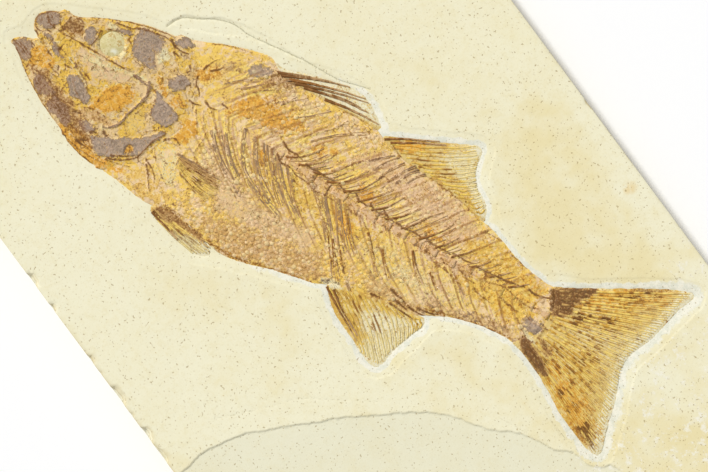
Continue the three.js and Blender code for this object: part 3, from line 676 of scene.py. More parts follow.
class Graph:
    def __init__(self, tree):
        self.tree = tree

    def node(self, kind, settings=None, sockets=None, out=0):
        node = self.tree.nodes.new(kind)
        for name, value in (settings or {}).items():
            setattr(node, name, value)
        for key, value in (sockets or {}).items():
            if isinstance(value, Wire):
                self.tree.links.new(value.socket, node.inputs[key])
            else:
                node.inputs[key].default_value = value
        return Wire(self, node.outputs[out])

    def calc(self, operation, first, second=0.0):
        return self.node("ShaderNodeMath", {"operation": operation}, {0: first, 1: second})

    def vector(self, operation, first, second=(0, 0, 0), key=1):
        return self.node("ShaderNodeVectorMath", {"operation": operation}, {0: first, key: second})

    def scaled(self, first, factor):
        return self.vector("SCALE", first, factor, "Scale")

    def ease(self, value, low, high):
        # 0 below low, 1 above high, and smooth between.
        return self.node("ShaderNodeMapRange", {"interpolation_type": "SMOOTHSTEP"},
                         {"Value": value, "From Min": low, "From Max": high})

    def blend(self, factor, first, second):
        # Two colours, each a wire or the name of a tone, mixed.
        first, second = (tones[paint] if isinstance(paint, str) else paint for paint in (first, second))
        return self.node("ShaderNodeMix", {"data_type": "RGBA"}, {0: factor, 6: first, 7: second}, out=2)

    def xyz(self, x, y, z):
        return self.node("ShaderNodeCombineXYZ", None, {0: x, 1: y, 2: z})

    def split(self, vector):
        parts = self.node("ShaderNodeSeparateXYZ", None, {0: vector})
        return [Wire(self, output) for output in parts.socket.node.outputs]

    def noise(self, place, scale=1.0, detail=2.0, rough=0.5, out=0):
        sockets = {"Vector": place, "Scale": scale, "Detail": detail, "Roughness": rough}
        return self.node("ShaderNodeTexNoise", None, sockets, out)


def tone(red, green, blue):
    # A colour as a screen shows it, from 0 to 255, turned into light.
    shares = [value / 255 for value in (red, green, blue)]
    return *(share / 12.92 if share <= 0.04045 else ((share + 0.055) / 1.055) ** 2.4 for share in shares), 1


class Finish(Graph):
    # A material with one shader, the textures that the finishes share, and a colour that coats build up.
    def __init__(self, name, colour, specular=0.35):
        self.material = bpy.data.materials.new(name)
        self.material.use_nodes = True
        super().__init__(self.material.node_tree)
        self.shader = self.tree.nodes["Principled BSDF"]
        self.shader.inputs["Specular IOR Level"].default_value = specular
        self.place = self.node("ShaderNodeTexCoord", out="Object")
        self.colour = colour

    def hum(self, size, detail=3.0, rough=0.6, shift=0.0, place=None):
        # Noise from about 0.3 to 0.7, with humps of a size in millimetres.
        moved = place or self.place
        if shift:
            moved = self.vector("ADD", moved, (shift, shift, shift))
        return self.noise(moved, 1 / (size * mm), detail, rough)

    def field(self, name):
        return self.node("ShaderNodeAttribute", {"attribute_name": name}, out="Fac")

    def coat(self, *layers):
        # Each layer is an amount and a colour, laid over what is there.
        for amount, paint in layers:
            self.colour = self.blend(amount, self.colour, paint)

    def finish(self, roughness, height, depth):
        bump = self.node("ShaderNodeBump", None, {"Height": height, "Distance": depth * mm, "Strength": 1.0})
        for socket, wire in (("Base Color", self.colour), ("Roughness", roughness), ("Normal", bump)):
            self.tree.links.new(wire.socket, self.shader.inputs[socket])
        return self.material


tones = {name: tone(*parts) for name, parts in {
    "tan": (222, 184, 138), "sand": (242, 222, 164), "gold": (228, 180, 66), "brown": (186, 144, 86),
    "rust": (150, 96, 34), "ink": (86, 58, 26), "inkWarm": (126, 82, 32), "violet": (186, 160, 140),
    "violetDark": (136, 120, 106), "amber": (236, 180, 70), "amberDeep": (222, 154, 42),
    "amberPale": (248, 214, 110), "cream": (228, 216, 164), "creamPale": (240, 231, 190),
    "blush": (234, 198, 156), "blushDeep": (216, 174, 130), "umber": (226, 186, 126),
    "umberDeep": (190, 146, 88), "yellow": (240, 202, 94), "yellowDeep": (226, 178, 62),
    "rib": (156, 126, 92), "ribPale": (214, 180, 130), "boneTan": (228, 196, 144), "boneGold": (234, 190, 74),
    "skinTan": (240, 208, 162), "skinGold": (244, 204, 96), "lemon": (248, 220, 122),
    "webPale": (222, 194, 122), "webGold": (210, 168, 72), "scraped": (242, 236, 208),
    "tailRay": (238, 208, 112), "tailDeep": (208, 158, 56),
    "tailTip": (230, 212, 142), "dorsalRay": (234, 200, 92), "dorsalDeep": (198, 156, 70),
    "dorsalTip": (230, 208, 132), "pairedRay": (242, 210, 112), "pairedDeep": (176, 136, 74),
    "pairedTip": (242, 214, 130), "stonePale": (242, 237, 207), "stoneWarm": (239, 231, 194),
    "stoneYellow": (233, 217, 160), "bedGrey": (232, 229, 203), "mottled": (222, 207, 156),
    "chalkGrey": (222, 224, 210), "chalk": (246, 243, 228), "eyeDeep": (208, 194, 136),
    "eyePale": (230, 220, 172),
    "eyeSpot": (190, 156, 84), "glint": (240, 238, 214), "rustSpot": (228, 190, 104), "dust": (208, 190, 138),
    # The crack tone darkens fine cracks, and is also painted shade along the steps of the slab's top.
    "speck": (168, 142, 92), "crackAndStepShade": (158, 152, 118), "layer": (206, 188, 140), "fleckDark": (196, 172, 118),
    "fleckPale": (222, 200, 146),
}.items()}


def mineralFinish(name, look):
    # Bone and skin turned to mineral: marbled tan and gold, veined, with the stains that the piece carries.
    f = Finish(name, look["first"])
    sway = f.vector("SUBTRACT", f.noise(f.place, 1 / (3.0 * mm), out="Color"), (0.5, 0.5, 0.5))
    swirled = f.vector("ADD", f.place, f.scaled(sway, 3.2 * mm))
    fine = f.hum(0.85, 5.0, 0.75)
    small = f.hum(2.3, 4.0, 0.65, 0.31, swirled)
    broad = f.hum(5.5, 3.0, 0.6, 0.53, swirled)
    wide = f.hum(22.0, 2.0, 0.5, 0.77)
    f.coat((f.ease(small * 0.45 + broad * 0.35 + wide * 0.2 + look["golden"], 0.46, 0.54), look["second"]),
           (f.ease(fine * 0.55 + broad * 0.45 + look["dull"], 0.52, 0.62) * 0.8, "brown"),
           (f.ease(fine * 0.4 + f.hum(1.9, 3.0, 0.6, 1.7, swirled) * 0.6, 0.54, 0.62) * 0.85, "sand"))
    if "streaks" in look:
        # Fine lines that run out from the column along the muscles, and a stronger one at each vertebra.
        flow = f.field("flow")
        lined = f.field("lined") * look["streaks"]
        thread = f.noise(f.xyz(flow * 0.6, f.field("far") * 0.07, 0.0), detail=3.0)
        band = f.calc("PINGPONG", flow + thread * 1.6, 3.7)
        wall = (1.0 - f.ease(band, 0.2, 1.15)) * f.ease(fine * 0.5 + broad * 0.5, 0.38, 0.5) * lined
        f.coat((f.ease(thread, 0.52, 0.6) * lined, "lemon"),
               (f.ease(1.0 - thread, 0.52, 0.62) * lined, "blushDeep"))
    covers = {}
    for kind, first, second, grip, mix in (
            ("blush", "blush", "blushDeep", 2.2, 0.8), ("gold", "yellow", "yellowDeep", 2.6, 0.85),
            ("umber", "umber", "umberDeep", 2.4, 0.85),
            ("cream", look.get("bare", "creamPale"), "cream", 2.4, 0.9),
            ("amber", "amber", "amberDeep", 2.8, 0.95), ("violet", "violet", "violetDark", 2.1, 0.92)):
        # A stain in two tones, broken up by the marbling.
        covers[kind] = f.ease(f.field(kind) * 0.9 + (fine + small - 1.0) * grip, 0.25, 0.7)
        f.coat((covers[kind] * mix, f.blend(f.ease(fine * 0.6 + small * 0.4, 0.43, 0.58), first, second)))
    bony = covers["violet"]
    bare = 1.0 - bony * 0.75
    f.coat((f.ease(bony * (1.0 - bony) * 4.0 + (fine - 0.5), 0.35, 1.0) * look["rims"], "inkWarm"))
    if "streaks" in look:
        f.coat((wall * 0.9, "rust"))
    seam = f.ease(f.node("ShaderNodeTexVoronoi", None,
                         {"Vector": f.place, "Scale": 1 / (look["granule"] * mm)}),
                  0.42, 0.66) * f.field("scaly") * 0.4
    # Golden flecks shine through.
    f.coat((f.ease(f.hum(1.3, 4.0, 0.8, 1.3, swirled), 0.57, 0.65) * bare * 0.75, "amberPale"),
           (seam, "umberDeep"))
    # Broken veins along the swirls, a coarse net and a fine one, then dark grains over everything.
    veins = 0.0
    for size, width, low, weight in ((7.5, 0.04, 0.47, look["sutures"]), (3.4, 0.075, 0.5, 1.0),
                                     (1.7, 0.1, 0.54, 0.7)):
        net = f.node("ShaderNodeTexVoronoi", {"feature": "DISTANCE_TO_EDGE"},
                     {"Vector": swirled, "Scale": 1 / (size * mm)})
        shown = f.ease(f.hum(2.8, shift=size), low, low + 0.1)
        veins = (1.0 - f.ease(net, width * 0.3, width)) * shown * weight + veins
    veins = veins * bare * look["veins"]
    grains = f.ease(f.hum(0.6, 3.0, 0.8, 2.1) * 0.6 + small * 0.4, look["grains"], look["grains"] + 0.05)
    ink = f.field("ink") + (small - 0.5) * 0.8
    core = f.ease(ink + (fine - 0.5) * 2.4, 0.42, 0.76)
    f.coat((veins, f.blend(f.ease(small, 0.4, 0.6), "inkWarm", "rust")), (grains * bare * 0.8, "inkWarm"),
           (f.ease(ink + (fine - 0.5) * 1.6, 0.14, 0.5) * 0.6, "rust"),
           (core * 0.9, f.blend(f.ease(fine, 0.42, 0.58), "ink", "inkWarm")))
    if "toned" in look:
        tint = f.field("tone")
        f.coat((f.ease(tint, 0.55, 1.0) * 0.25, "umberDeep"), (f.ease(1.0 - tint, 0.6, 1.0) * 0.5, "sand"))
    roughness = 0.62 + (fine - 0.5) * 0.5 - bony * 0.16 + covers["cream"] * 0.16 - core * 0.08
    height = fine * 0.5 + small * 0.5 - grains * 0.15 - seam * 0.5 - veins * 0.3 + f.hum(0.35, 2.0) * 0.25
    return f.finish(roughness, height, look["depth"])


def rayFinish(name, look):
    # Fin rays: gold, with darker dashes along each ray and paler, finer tips.
    f = Finish(name, look["tone"] + "Ray")
    along = f.field("along")
    dash = f.noise(f.xyz(f.field("share") * look["lanes"], along * look["dashes"], 0.0), rough=0.6)
    fine = f.hum(0.7, 4.0, 0.75)
    small = f.hum(2.4, shift=0.4)
    fade = f.ease(along + (dash - 0.5) * 0.9, 0.6, 1.05)
    dark = f.ease(dash * 0.8 + fine * 0.2, look["dashFrom"], look["dashFrom"] + 0.07) * (1.0 - fade * 0.6)
    core = f.ease(f.field("ink") + (dash - 0.5) * 2.4 + (fine - 0.5) * 0.8, 0.4, 0.7)
    amber = f.blend(f.ease(fine, 0.4, 0.6), "amber", "amberDeep")
    f.coat((f.ease(small * 0.5 + dash * 0.5, 0.42, 0.58), look["tone"] + "Deep"),
           (fade * 0.75, look["tone"] + "Tip"),
           (f.ease(f.field("cream") + (small - 0.5) * 1.6, 0.35, 0.8) * 0.6, "cream"),
           (f.ease(f.field("amber") + (dash - 0.5) * 1.6, 0.3, 0.8) * 0.85, amber),
           (f.ease(f.field("umber") + (fine - 0.5) * 1.6, 0.35, 0.8) * 0.8, "umberDeep"),
           (dark * 0.85, f.blend(f.ease(small, 0.42, 0.58), "inkWarm", "rust")),
           (core * 0.9, f.blend(f.ease(fine, 0.4, 0.6), "ink", "inkWarm")))
    return f.finish(0.6 + (fine - 0.5) * 0.4 - core * 0.1, fine + small * 0.5, 0.1)


def strandFinish(name, first, second, wear):
    # Ribs and spines: dark at their roots, lighter where the bone is worn.
    f = Finish(name, first)
    fine = f.hum(0.6, 4.0, 0.75)
    small = f.hum(2.2, 3.0, 0.65, 0.8)
    f.coat((f.ease(small + (f.field("tone") - 0.5) * 0.25, 0.4, 0.6), second),
           (f.ease(fine * 0.5 + small * 0.5 + f.field("along") * wear, 0.55, 0.68) * 0.7, "ribPale"),
           (f.ease(fine, 0.56, 0.64) * 0.6, "ink"))
    return f.finish(0.58 + (fine - 0.5) * 0.5, fine + small * 0.6, 0.1)


def limestoneFinish(name):
    # Fine lake limestone: cream, a little blotched, with tiny dark specks and laminae on the sawn sides.
    f = Finish(name, "stonePale", 0.2)
    x, y, z = f.split(f.place)
    fine = f.hum(0.9, 5.0, 0.7)
    small = f.hum(3.2, 4.0, 0.6, 0.37)
    broad = f.hum(16.0, 3.0, 0.55, 0.61)
    wide = f.hum(70.0, 2.0, 0.5, 0.83)
    mixed = small * 0.6 + fine * 0.4
    side = f.field("side")
    socket = f.ease(f.field("eye") + (small - 0.5) * 0.8, 0.3, 0.7)
    speck = f.ease(f.hum(0.95, 1.0, 0.5, 1.9), 0.69, 0.73)
    # Thin layers, which show only where the slab is cut across them.
    layers = f.noise(f.xyz(x * 14.0, y * 14.0, z * 1500.0), detail=3.0, rough=0.6)
    saw = f.hum(0.5, place=f.xyz(x, y, z * 0.15))
    f.coat((f.ease(broad * 0.25 + wide * 0.35 + small * 0.2 + fine * 0.2, 0.38, 0.64), "stoneWarm"),
           # The end near the tail is yellower.
           (f.ease(x * 3.2 + f.field("sunny") * 0.7 + (broad - 0.5) * 1.6 + (wide - 0.5) * 1.4,
                   0.05, 0.9) * 0.66,
            "stoneYellow"),
           (f.field("bed") * 0.7, "bedGrey"), (f.ease(mixed, 0.5, 0.66) * 0.16, "mottled"),
           (f.ease(f.field("halo") + (small - 0.5) * 1.6 + (fine - 0.5) * 1.2, 0.35, 0.75) * 0.8,
            f.blend(f.ease(small * 0.5 + fine * 0.5, 0.42, 0.58), "chalkGrey", "chalk")),
           (socket, f.blend(f.ease(mixed, 0.42, 0.58), "eyeDeep", "eyePale")),
           (socket * f.ease(mixed, 0.53, 0.58) * 0.8, "eyeSpot"), (f.field("glint"), "glint"),
           (f.field("rustSpot") * f.ease(small, 0.4, 0.6) * 0.55, "rustSpot"),
           (f.ease(f.hum(0.7, 3.0, 0.7, 2.7), 0.58, 0.68) * 0.3, "dust"), (speck * 0.6, "speck"),
           # Dark lines: fine cracks, and painted shade along the steps at the hollow's, the bed's and the
           # scar's edges and along the ledge.
           (f.ease(f.field("crackAndStepShade") + (fine - 0.5) * 0.8, 0.35, 0.8) * 0.62, "crackAndStepShade"),
           (side * f.ease(layers, 0.4, 0.62) * 0.75, "layer"))
    height = fine * 0.35 + small * 0.25 + f.hum(0.32, 2.0) * 0.2
    height = height + side * (layers * 0.6 + saw * 0.4) - speck * 0.4
    return f.finish(0.9 + (fine - 0.5) * 0.2 - f.field("eye") * 0.2, height, 0.16)


boneFinish = mineralFinish("mineralBone", {
    "first": "boneTan", "second": "boneGold", "golden": 0.01, "dull": -0.02, "granule": 1.5, "grains": 0.6,
    "veins": 0.5, "sutures": 1.1, "rims": 0.8, "depth": 0.6})
skinFinish = mineralFinish("mineralSkin", {
    "streaks": 1.0, "first": "skinTan", "second": "skinGold", "golden": 0.015, "dull": -0.06, "granule": 1.75,
    "grains": 0.61, "veins": 0.4, "sutures": 0.4, "rims": 0.4, "depth": 0.4})
webFinish = mineralFinish("finWeb", {
    "first": "webPale", "second": "webGold", "bare": "scraped", "golden": -0.01, "dull": -0.05,
    "granule": 1.2, "grains": 0.6, "veins": 0.3, "sutures": 0.0, "rims": 0.2, "depth": 0.2})
stoneFinish = limestoneFinish("lakeLimestone")
ribFinish = strandFinish("greyRibs", "rib", "brown", 0.1)
spineFinish = strandFinish("darkSpines", "inkWarm", "rust", 0.2)
rodFinish = strandFinish("finBoneRods", "rib", "umberDeep", 0.04)
scaleFinish = mineralFinish("scaleBone", {
    "streaks": 0.85, "first": "skinTan", "second": "skinGold", "golden": 0.005, "dull": -0.08, "granule": 1.0,
    "grains": 0.63, "veins": 0.4, "sutures": 0.3, "rims": 0.3, "depth": 0.15, "toned": True})
vertebraFinish = mineralFinish("vertebraBone", {
    "first": "tan", "second": "gold", "golden": -0.02, "dull": 0.01, "granule": 1.1, "grains": 0.58,
    "veins": 0.5, "sutures": 0.6, "rims": 0.5, "depth": 0.35})
rayFinishes = {name: rayFinish(name + "Rays", look) for name, look in {
    "tail": {"tone": "tail", "lanes": 34.0, "dashes": 7.0, "dashFrom": 0.515},
    "dorsal": {"tone": "dorsal", "lanes": 26.0, "dashes": 3.0, "dashFrom": 0.545},
    "pairedFin": {"tone": "paired", "lanes": 20.0, "dashes": 3.0, "dashFrom": 0.525}}.items()}
fleck = Finish("darkFlecks", "fleckDark")
fleck.coat((fleck.ease(fleck.hum(9.0), 0.4, 0.6), "fleckPale"))
fleckFinish = fleck.finish(0.85 + fleck.hum(0.5) * 0.1, fleck.hum(0.3), 0.05)
print("finishes ready")


# Shapes that repeat or follow a path are Geometry Nodes trees, each turned into a plain mesh.

class Shaper(Graph):
    # A Geometry Nodes tree with named inputs, which are read as shaper["Name"].
    def __init__(self, name, inputs):
        super().__init__(bpy.data.node_groups.new(name, "GeometryNodeTree"))
        add = self.tree.interface.new_socket
        add("Geometry", in_out="INPUT", socket_type="NodeSocketGeometry")
        add("Geometry", in_out="OUTPUT", socket_type="NodeSocketGeometry")
        for kind, labels in inputs.items():
            for label in labels:
                add(label, in_out="INPUT", socket_type="NodeSocket" + kind)
        self.start = self.tree.nodes.new("NodeGroupInput")

    def __getitem__(self, label):
        return Wire(self, self.start.outputs[label])

    def geo(self, kind, settings=None, out=0, **sockets):
        named = {key.replace("_", " "): value for key, value in sockets.items()}
        return self.node("GeometryNode" + kind, settings, named, out)

    def store(self, geometry, name, value, domain="POINT"):
        # Keeps a number with each element, and gives the geometry and the field that reads it.
        kept = self.geo("StoreNamedAttribute", {"data_type": "FLOAT", "domain": domain}, Geometry=geometry,
                        Name=name, Value=value)
        return kept, self.geo("InputNamedAttribute", {"data_type": "FLOAT"}, Name=name)

    def chance(self, low, high, seed):
        return self.node("FunctionNodeRandomValue", {"data_type": "FLOAT"}, {2: low, 3: high, "Seed": seed},
                         out=1)

    def between(self, first, last, share):
        return self[first] + (self[last] - self[first]) * share

    def tubes(self, lines, radius, sides):
        # Round bars along the lines, squeezed towards the height that they lie at.
        ring = self.geo("CurvePrimitiveCircle", {"mode": "RADIUS"}, Resolution=sides, Radius=1.0)
        bars = self.geo("CurveToMesh", Curve=lines, Profile_Curve=ring, Scale=radius, Fill_Caps=True)
        x, y, z = self.split(self.geo("InputPosition"))
        squeezed = self.xyz(x, y, self["Bed"] + (z - self["Bed"]) * self["Flatness"])
        return self.close(self.geo("SetPosition", Geometry=bars, Position=squeezed))

    def close(self, geometry):
        # Every tree ends with its instances realized and its finish set.
        smooth = self.geo("SetShadeSmooth", Geometry=self.geo("RealizeInstances", Geometry=geometry))
        done = self.geo("SetMaterial", Geometry=smooth, Material=self["Finish"])
        self.tree.links.new(done.socket, self.tree.nodes.new("NodeGroupOutput").inputs[0])
        return self.tree


def grown(name, source, tree, values):
    # Runs a tree on an object, keeps the result as a mesh of its own and removes the object.
    modifier = source.modifiers.new("shape", "NODES")
    modifier.node_group = tree
    for item in tree.interface.items_tree:
        if item.in_out == "INPUT" and item.name in values:
            modifier[item.identifier] = values[item.name]
    depsgraph = bpy.context.evaluated_depsgraph_get()
    mesh = bpy.data.meshes.new_from_object(source.evaluated_get(depsgraph), preserve_all_data_layers=True,
                                           depsgraph=depsgraph)
    source.modifiers.remove(modifier)
    bpy.data.objects.remove(source)
    mesh.name = name
    return turnedOut(placed(name, mesh))


def turnedOut(piece):
    # Faces point outwards when the volume that they close is positive.
    mesh = piece.data
    mesh.calc_loop_triangles()
    corners = np.zeros(len(mesh.loop_triangles) * 3, np.int32)
    mesh.loop_triangles.foreach_get("vertices", corners)
    spots = placesOf(piece)[corners].reshape(-1, 3, 3)
    spots -= spots.mean(axis=(0, 1))
    if np.sum(spots[:, 0] * np.cross(spots[:, 1], spots[:, 2])) < 0:
        mesh.flip_normals()
    return piece


def curveFrom(name, paths, height):
    # A curve object with one straight-stepped line for each path of the fish's frame.
    curve = bpy.data.curves.new(name, "CURVE")
    curve.dimensions = "3D"
    for path in paths:
        spots = toSlab(path)
        line = curve.splines.new("POLY")
        line.points.add(len(spots) - 1)
        for point, (x, y) in zip(line.points, spots):
            point.co = (x * mm, y * mm, height * mm, 1)
    return placed(name, curve)


def rayTree():
    # Rays between two rails: each ray starts on the first rail and ends on the second.
    g = Shaper("finRays", {
        "Int": ("Rays", "Steps", "Seed"), "Material": ("Finish",),
        "Float": ("From", "To", "Root Radius", "Tip Radius", "Joints", "Bow", "Wobble", "Bed", "Flatness")})
    net = g.geo("MeshGrid", Size_X=1.0, Size_Y=1.0, Vertices_X=g["Rays"], Vertices_Y=g["Steps"])
    ends = [g.split(g.geo("InputMeshEdgeVertices", out=i))[0] for i in (2, 3)]
    crossing = g.node("FunctionNodeCompare", {"data_type": "FLOAT"},
                      {0: g.calc("ABSOLUTE", ends[0] - ends[1]), 1: 1e-5})
    lanes = g.geo("DeleteGeometry", {"domain": "EDGE", "mode": "EDGE_FACE"}, Geometry=net, Selection=crossing)
    x, y, _ = g.split(g.geo("InputPosition"))
    kept, share = g.store(lanes, "share", x + 0.5)
    kept, along = g.store(kept, "along", g.between("From", "To", y + 0.5))
    rails = [g.geo("SampleCurve", {"mode": "FACTOR", "use_all_curves": False}, "Position",
                   Curves=g["Geometry"], Factor=share, Curve_Index=i) for i in (0, 1)]
    span = g.vector("SUBTRACT", rails[1], rails[0])
    across = g.vector("NORMALIZE", g.vector("CROSS_PRODUCT", span, (0, 0, 1)))
    noise = g.noise(g.xyz(share * 41.0, along * 3.0, g["Seed"] * 7.7))
    sway = g["Bow"] * (4.0 * along * (1.0 - along)) + (noise - 0.5) * g["Wobble"]
    ray = g.vector("ADD", g.vector("ADD", rails[0], g.scaled(span, along)), g.scaled(across, sway))
    lines = g.geo("MeshToCurve", Mesh=g.geo("SetPosition", Geometry=kept, Position=ray))
    joint = g.calc("PINGPONG", along * g["Joints"] + share * 3.0, 0.5)
    slim = 1.0 - 0.5 * g.ease(joint * -1.0, -0.09, -0.01)
    return g.tubes(lines, g.between("Root Radius", "Tip Radius", along) * slim, 5)


def strandTree():
    # Long thin bones: each path becomes a few strands that lie side by side and taper.
    g = Shaper("boneStrands", {
        "Int": ("Strands", "Seed"), "Material": ("Finish",),
        "Float": ("Spread", "Root Radius", "Tip Radius", "Wobble", "Bed", "Flatness")})
    copies = g.geo("DuplicateElements", {"domain": "SPLINE"}, Geometry=g["Geometry"], Amount=g["Strands"])
    copies, chance = g.store(copies, "tone", g.chance(0.0, 1.0, g["Seed"]), "CURVE")
    lines = g.geo("ResampleCurve", {"mode": "LENGTH"}, Curve=copies, Length=0.8 * mm)
    lines, along = g.store(lines, "along", g.geo("SplineParameter", out="Factor"))
    side = g.vector("CROSS_PRODUCT", g.geo("InputTangent"), (0, 0, 1))
    place = g.geo("InputPosition")
    noise, knots = (g.node("ShaderNodeTexNoise", {"noise_dimensions": "4D"}, {
        "Vector": place, "W": chance * turn, "Scale": 1 / (size * mm), "Detail": 2.0})
        for turn, size in ((9.0, 5), (5.0, 1.6)))
    shift = (chance - 0.5) * g["Spread"] * (0.4 + along) + (noise - 0.5) * g["Wobble"]
    lines = g.geo("SetPosition", Geometry=lines, Offset=g.scaled(side, shift))
    return g.tubes(lines, g.between("Root Radius", "Tip Radius", along) * (0.55 + knots * 0.9), 6)


def vertebraTree():
    # Waisted drums along the column, each turned along it and a little different.
    g = Shaper("vertebrae", {
        "Int": ("Count", "Seed"), "Material": ("Finish",),
        "Float": ("Length", "First Width", "Last Width", "Thickness", "Waist")})
    points = g.geo("CurveToPoints", {"mode": "COUNT"}, Curve=g["Geometry"], Count=g["Count"])
    turns = Wire(g, points.socket.node.outputs["Tangent"])
    x, y, z = g.split(g.geo("InputPosition"))
    waist = 1.0 - g["Waist"] * (1.0 - 4.0 * z * z)
    drum = g.geo("MeshCylinder", Vertices=16, Side_Segments=7, Radius=0.5, Depth=1.0)
    drum = g.geo("SetPosition", Geometry=drum, Position=g.xyz(z, x * waist, y * waist))
    chance = g.chance(0.72, 1.15, g["Seed"])
    width = g.between("First Width", "Last Width", g.geo("InputIndex") / g["Count"]) * chance
    slip = g.node("FunctionNodeRandomValue", {"data_type": "FLOAT_VECTOR"}, {
        0: (-0.7 * mm, -0.5 * mm, -0.12 * mm), 1: (0.7 * mm, 0.5 * mm, 0.06 * mm), "Seed": 5})
    drums = g.geo("InstanceOnPoints", Points=g.geo("SetPosition", Geometry=points, Offset=slip),
                  Instance=drum,
                  Rotation=g.node("FunctionNodeAlignRotationToVector", {"axis": "X", "pivot_axis": "Z"},
                                  {"Vector": turns}),
                  Scale=g.xyz(g["Length"] * chance, width, g["Thickness"]))
    noise = g.node("ShaderNodeTexNoise", None, {"Scale": 1 / (1.3 * mm), "Detail": 3.0}, out=1)
    rough = g.scaled(g.vector("SUBTRACT", noise, (0.5, 0.5, 0.5)), 1.3 * mm)
    return g.close(g.geo("SetPosition", Geometry=g.geo("RealizeInstances", Geometry=drums), Offset=rough))


def coverTree():
    # Small flat domes scattered over the upper faces of a sheet, where the sheet's own field asks for them.
    g = Shaper("scaleCover", {
        "Int": ("Seed",), "Material": ("Finish",),
        "Float": ("Spacing", "Density", "Length", "Width", "Thickness", "Turn", "Tilt")})
    up = g.split(g.geo("InputNormal"))[2]
    points = g.geo("DistributePointsOnFaces", {"distribute_method": "POISSON"}, Mesh=g["Geometry"],
                   Selection=g.node("FunctionNodeCompare", {"data_type": "FLOAT"}, {0: up, 1: 0.6}),
                   Distance_Min=g["Spacing"], Density_Max=g["Density"], Seed=g["Seed"],
                   Density_Factor=g.geo("InputNamedAttribute", {"data_type": "FLOAT"}, Name="scaly"))
    size, turn, tint = (g.chance(*values) for values in ((0.7, 1.25, 11), (-0.35, 0.35, 12), (0.0, 1.0, 13)))
    domes = g.geo("InstanceOnPoints", Points=points,
                  Instance=g.geo("MeshUVSphere", Segments=7, Rings=4, Radius=0.5),
                  Rotation=g.xyz(0.0, g["Tilt"], g["Turn"] + turn),
                  Scale=g.xyz(g["Length"] * size, g["Width"] * size, g["Thickness"]))
    return g.close(g.store(domes, "tone", tint, "INSTANCE")[0])


rays, strands, vertebrae, cover = rayTree(), strandTree(), vertebraTree(), coverTree()
print("shape trees ready")


def keep(piece, node, slot):
    # The piece stands for a CAD node and moves with the slab.
    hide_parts(node)
    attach(piece, "root")
    print(piece.name, len(piece.data.polygons), "faces")
    return piece


# The slab: its sawn sides, the hollow cut round the fish, a lower bed and a small scar.

slabPlan = {"haloDrop": 0.15, "floorDrop": 0.4, "underFish": 0.2, "bedDrop": 0.5, "scarDrop": 0.3,
            "rimStep": 0.9, "fineStep": 0.5, "bottomStep": 5.0, "sideRings": 9}
# Chips along the lower sawn edge: where each is, how long and how deep.
edgeChips = [(-63, 7, 2.6), (-48.5, 4.5, 2.0), (-21.5, 4.5, 2.2), (-14.5, 1.6, 1.2), (-2.5, 10, 2.8),
             (7.5, 1.8, 1.3), (18, 7.4, 2.8), (29, 7.5, 2.4), (61, 2, 0.9), (96, 3, 1.1), (-104, 2.4, 1.0)]
# Lines on the slab and its yellower area, in the fish's frame. The last two lines are in the slab's.
ledgeLine = [55, 35, 57, 39, 60, 42, 67, 44.5, 70, 46.5, 76, 48.5, 82, 49, 87, 47.5, 100, 48.5, 115, 49, 130,
             48.3, 135, 49.5, 143, 51]
fineLines = [toSlab(line) for line in (
    [275, -38, 285, -42, 295, -45], [255, -46.6, 268, -47, 280, -47.4], [92, 33.4, 95, 34.4, 98, 33.8])]
fineLines += [[43.5, -55.5, 55.5, -40.5, 65.5, -28.5], [30, -88, 38, -70, 43.5, -55.5]]
sunnyStone = [197, 65, 207, 82, 226, 72, 243, 62, 273, 49, 300, 37, 272, 22, 224, 30, 208, 46]
eyeMiddle = (38, 17.8)
bodyNodes = ("skull", "upper_jaw", "lower_jaw", "gill_cover", "trunk")
finNodes = ("spiny_dorsal_fin", "soft_dorsal_fin", "anal_fin", "pelvic_fin", "tail_fin")
outlines = {node: loopsAt(node, floorZ, -1) for node in bodyNodes + finNodes}
hollow = loopsAt("limestone_slab", floorZ, 1)[0]
bed = loopsAt("limestone_slab", floorZ + 0.5, 1)
scar = loopsAt("limestone_slab", floorZ + 0.65, 1)


def depthIn(points, loops, reach):
    # How far inside any of the loops each point is. Outside them it is negative.
    return -np.min([loopDistance(points, loop, reach) for loop in loops], axis=0)


def band(values, middle, width):
    # 1 at the middle value and 0 a width away from it.
    return np.clip(1 - np.abs(values - middle) / width, 0, 1)


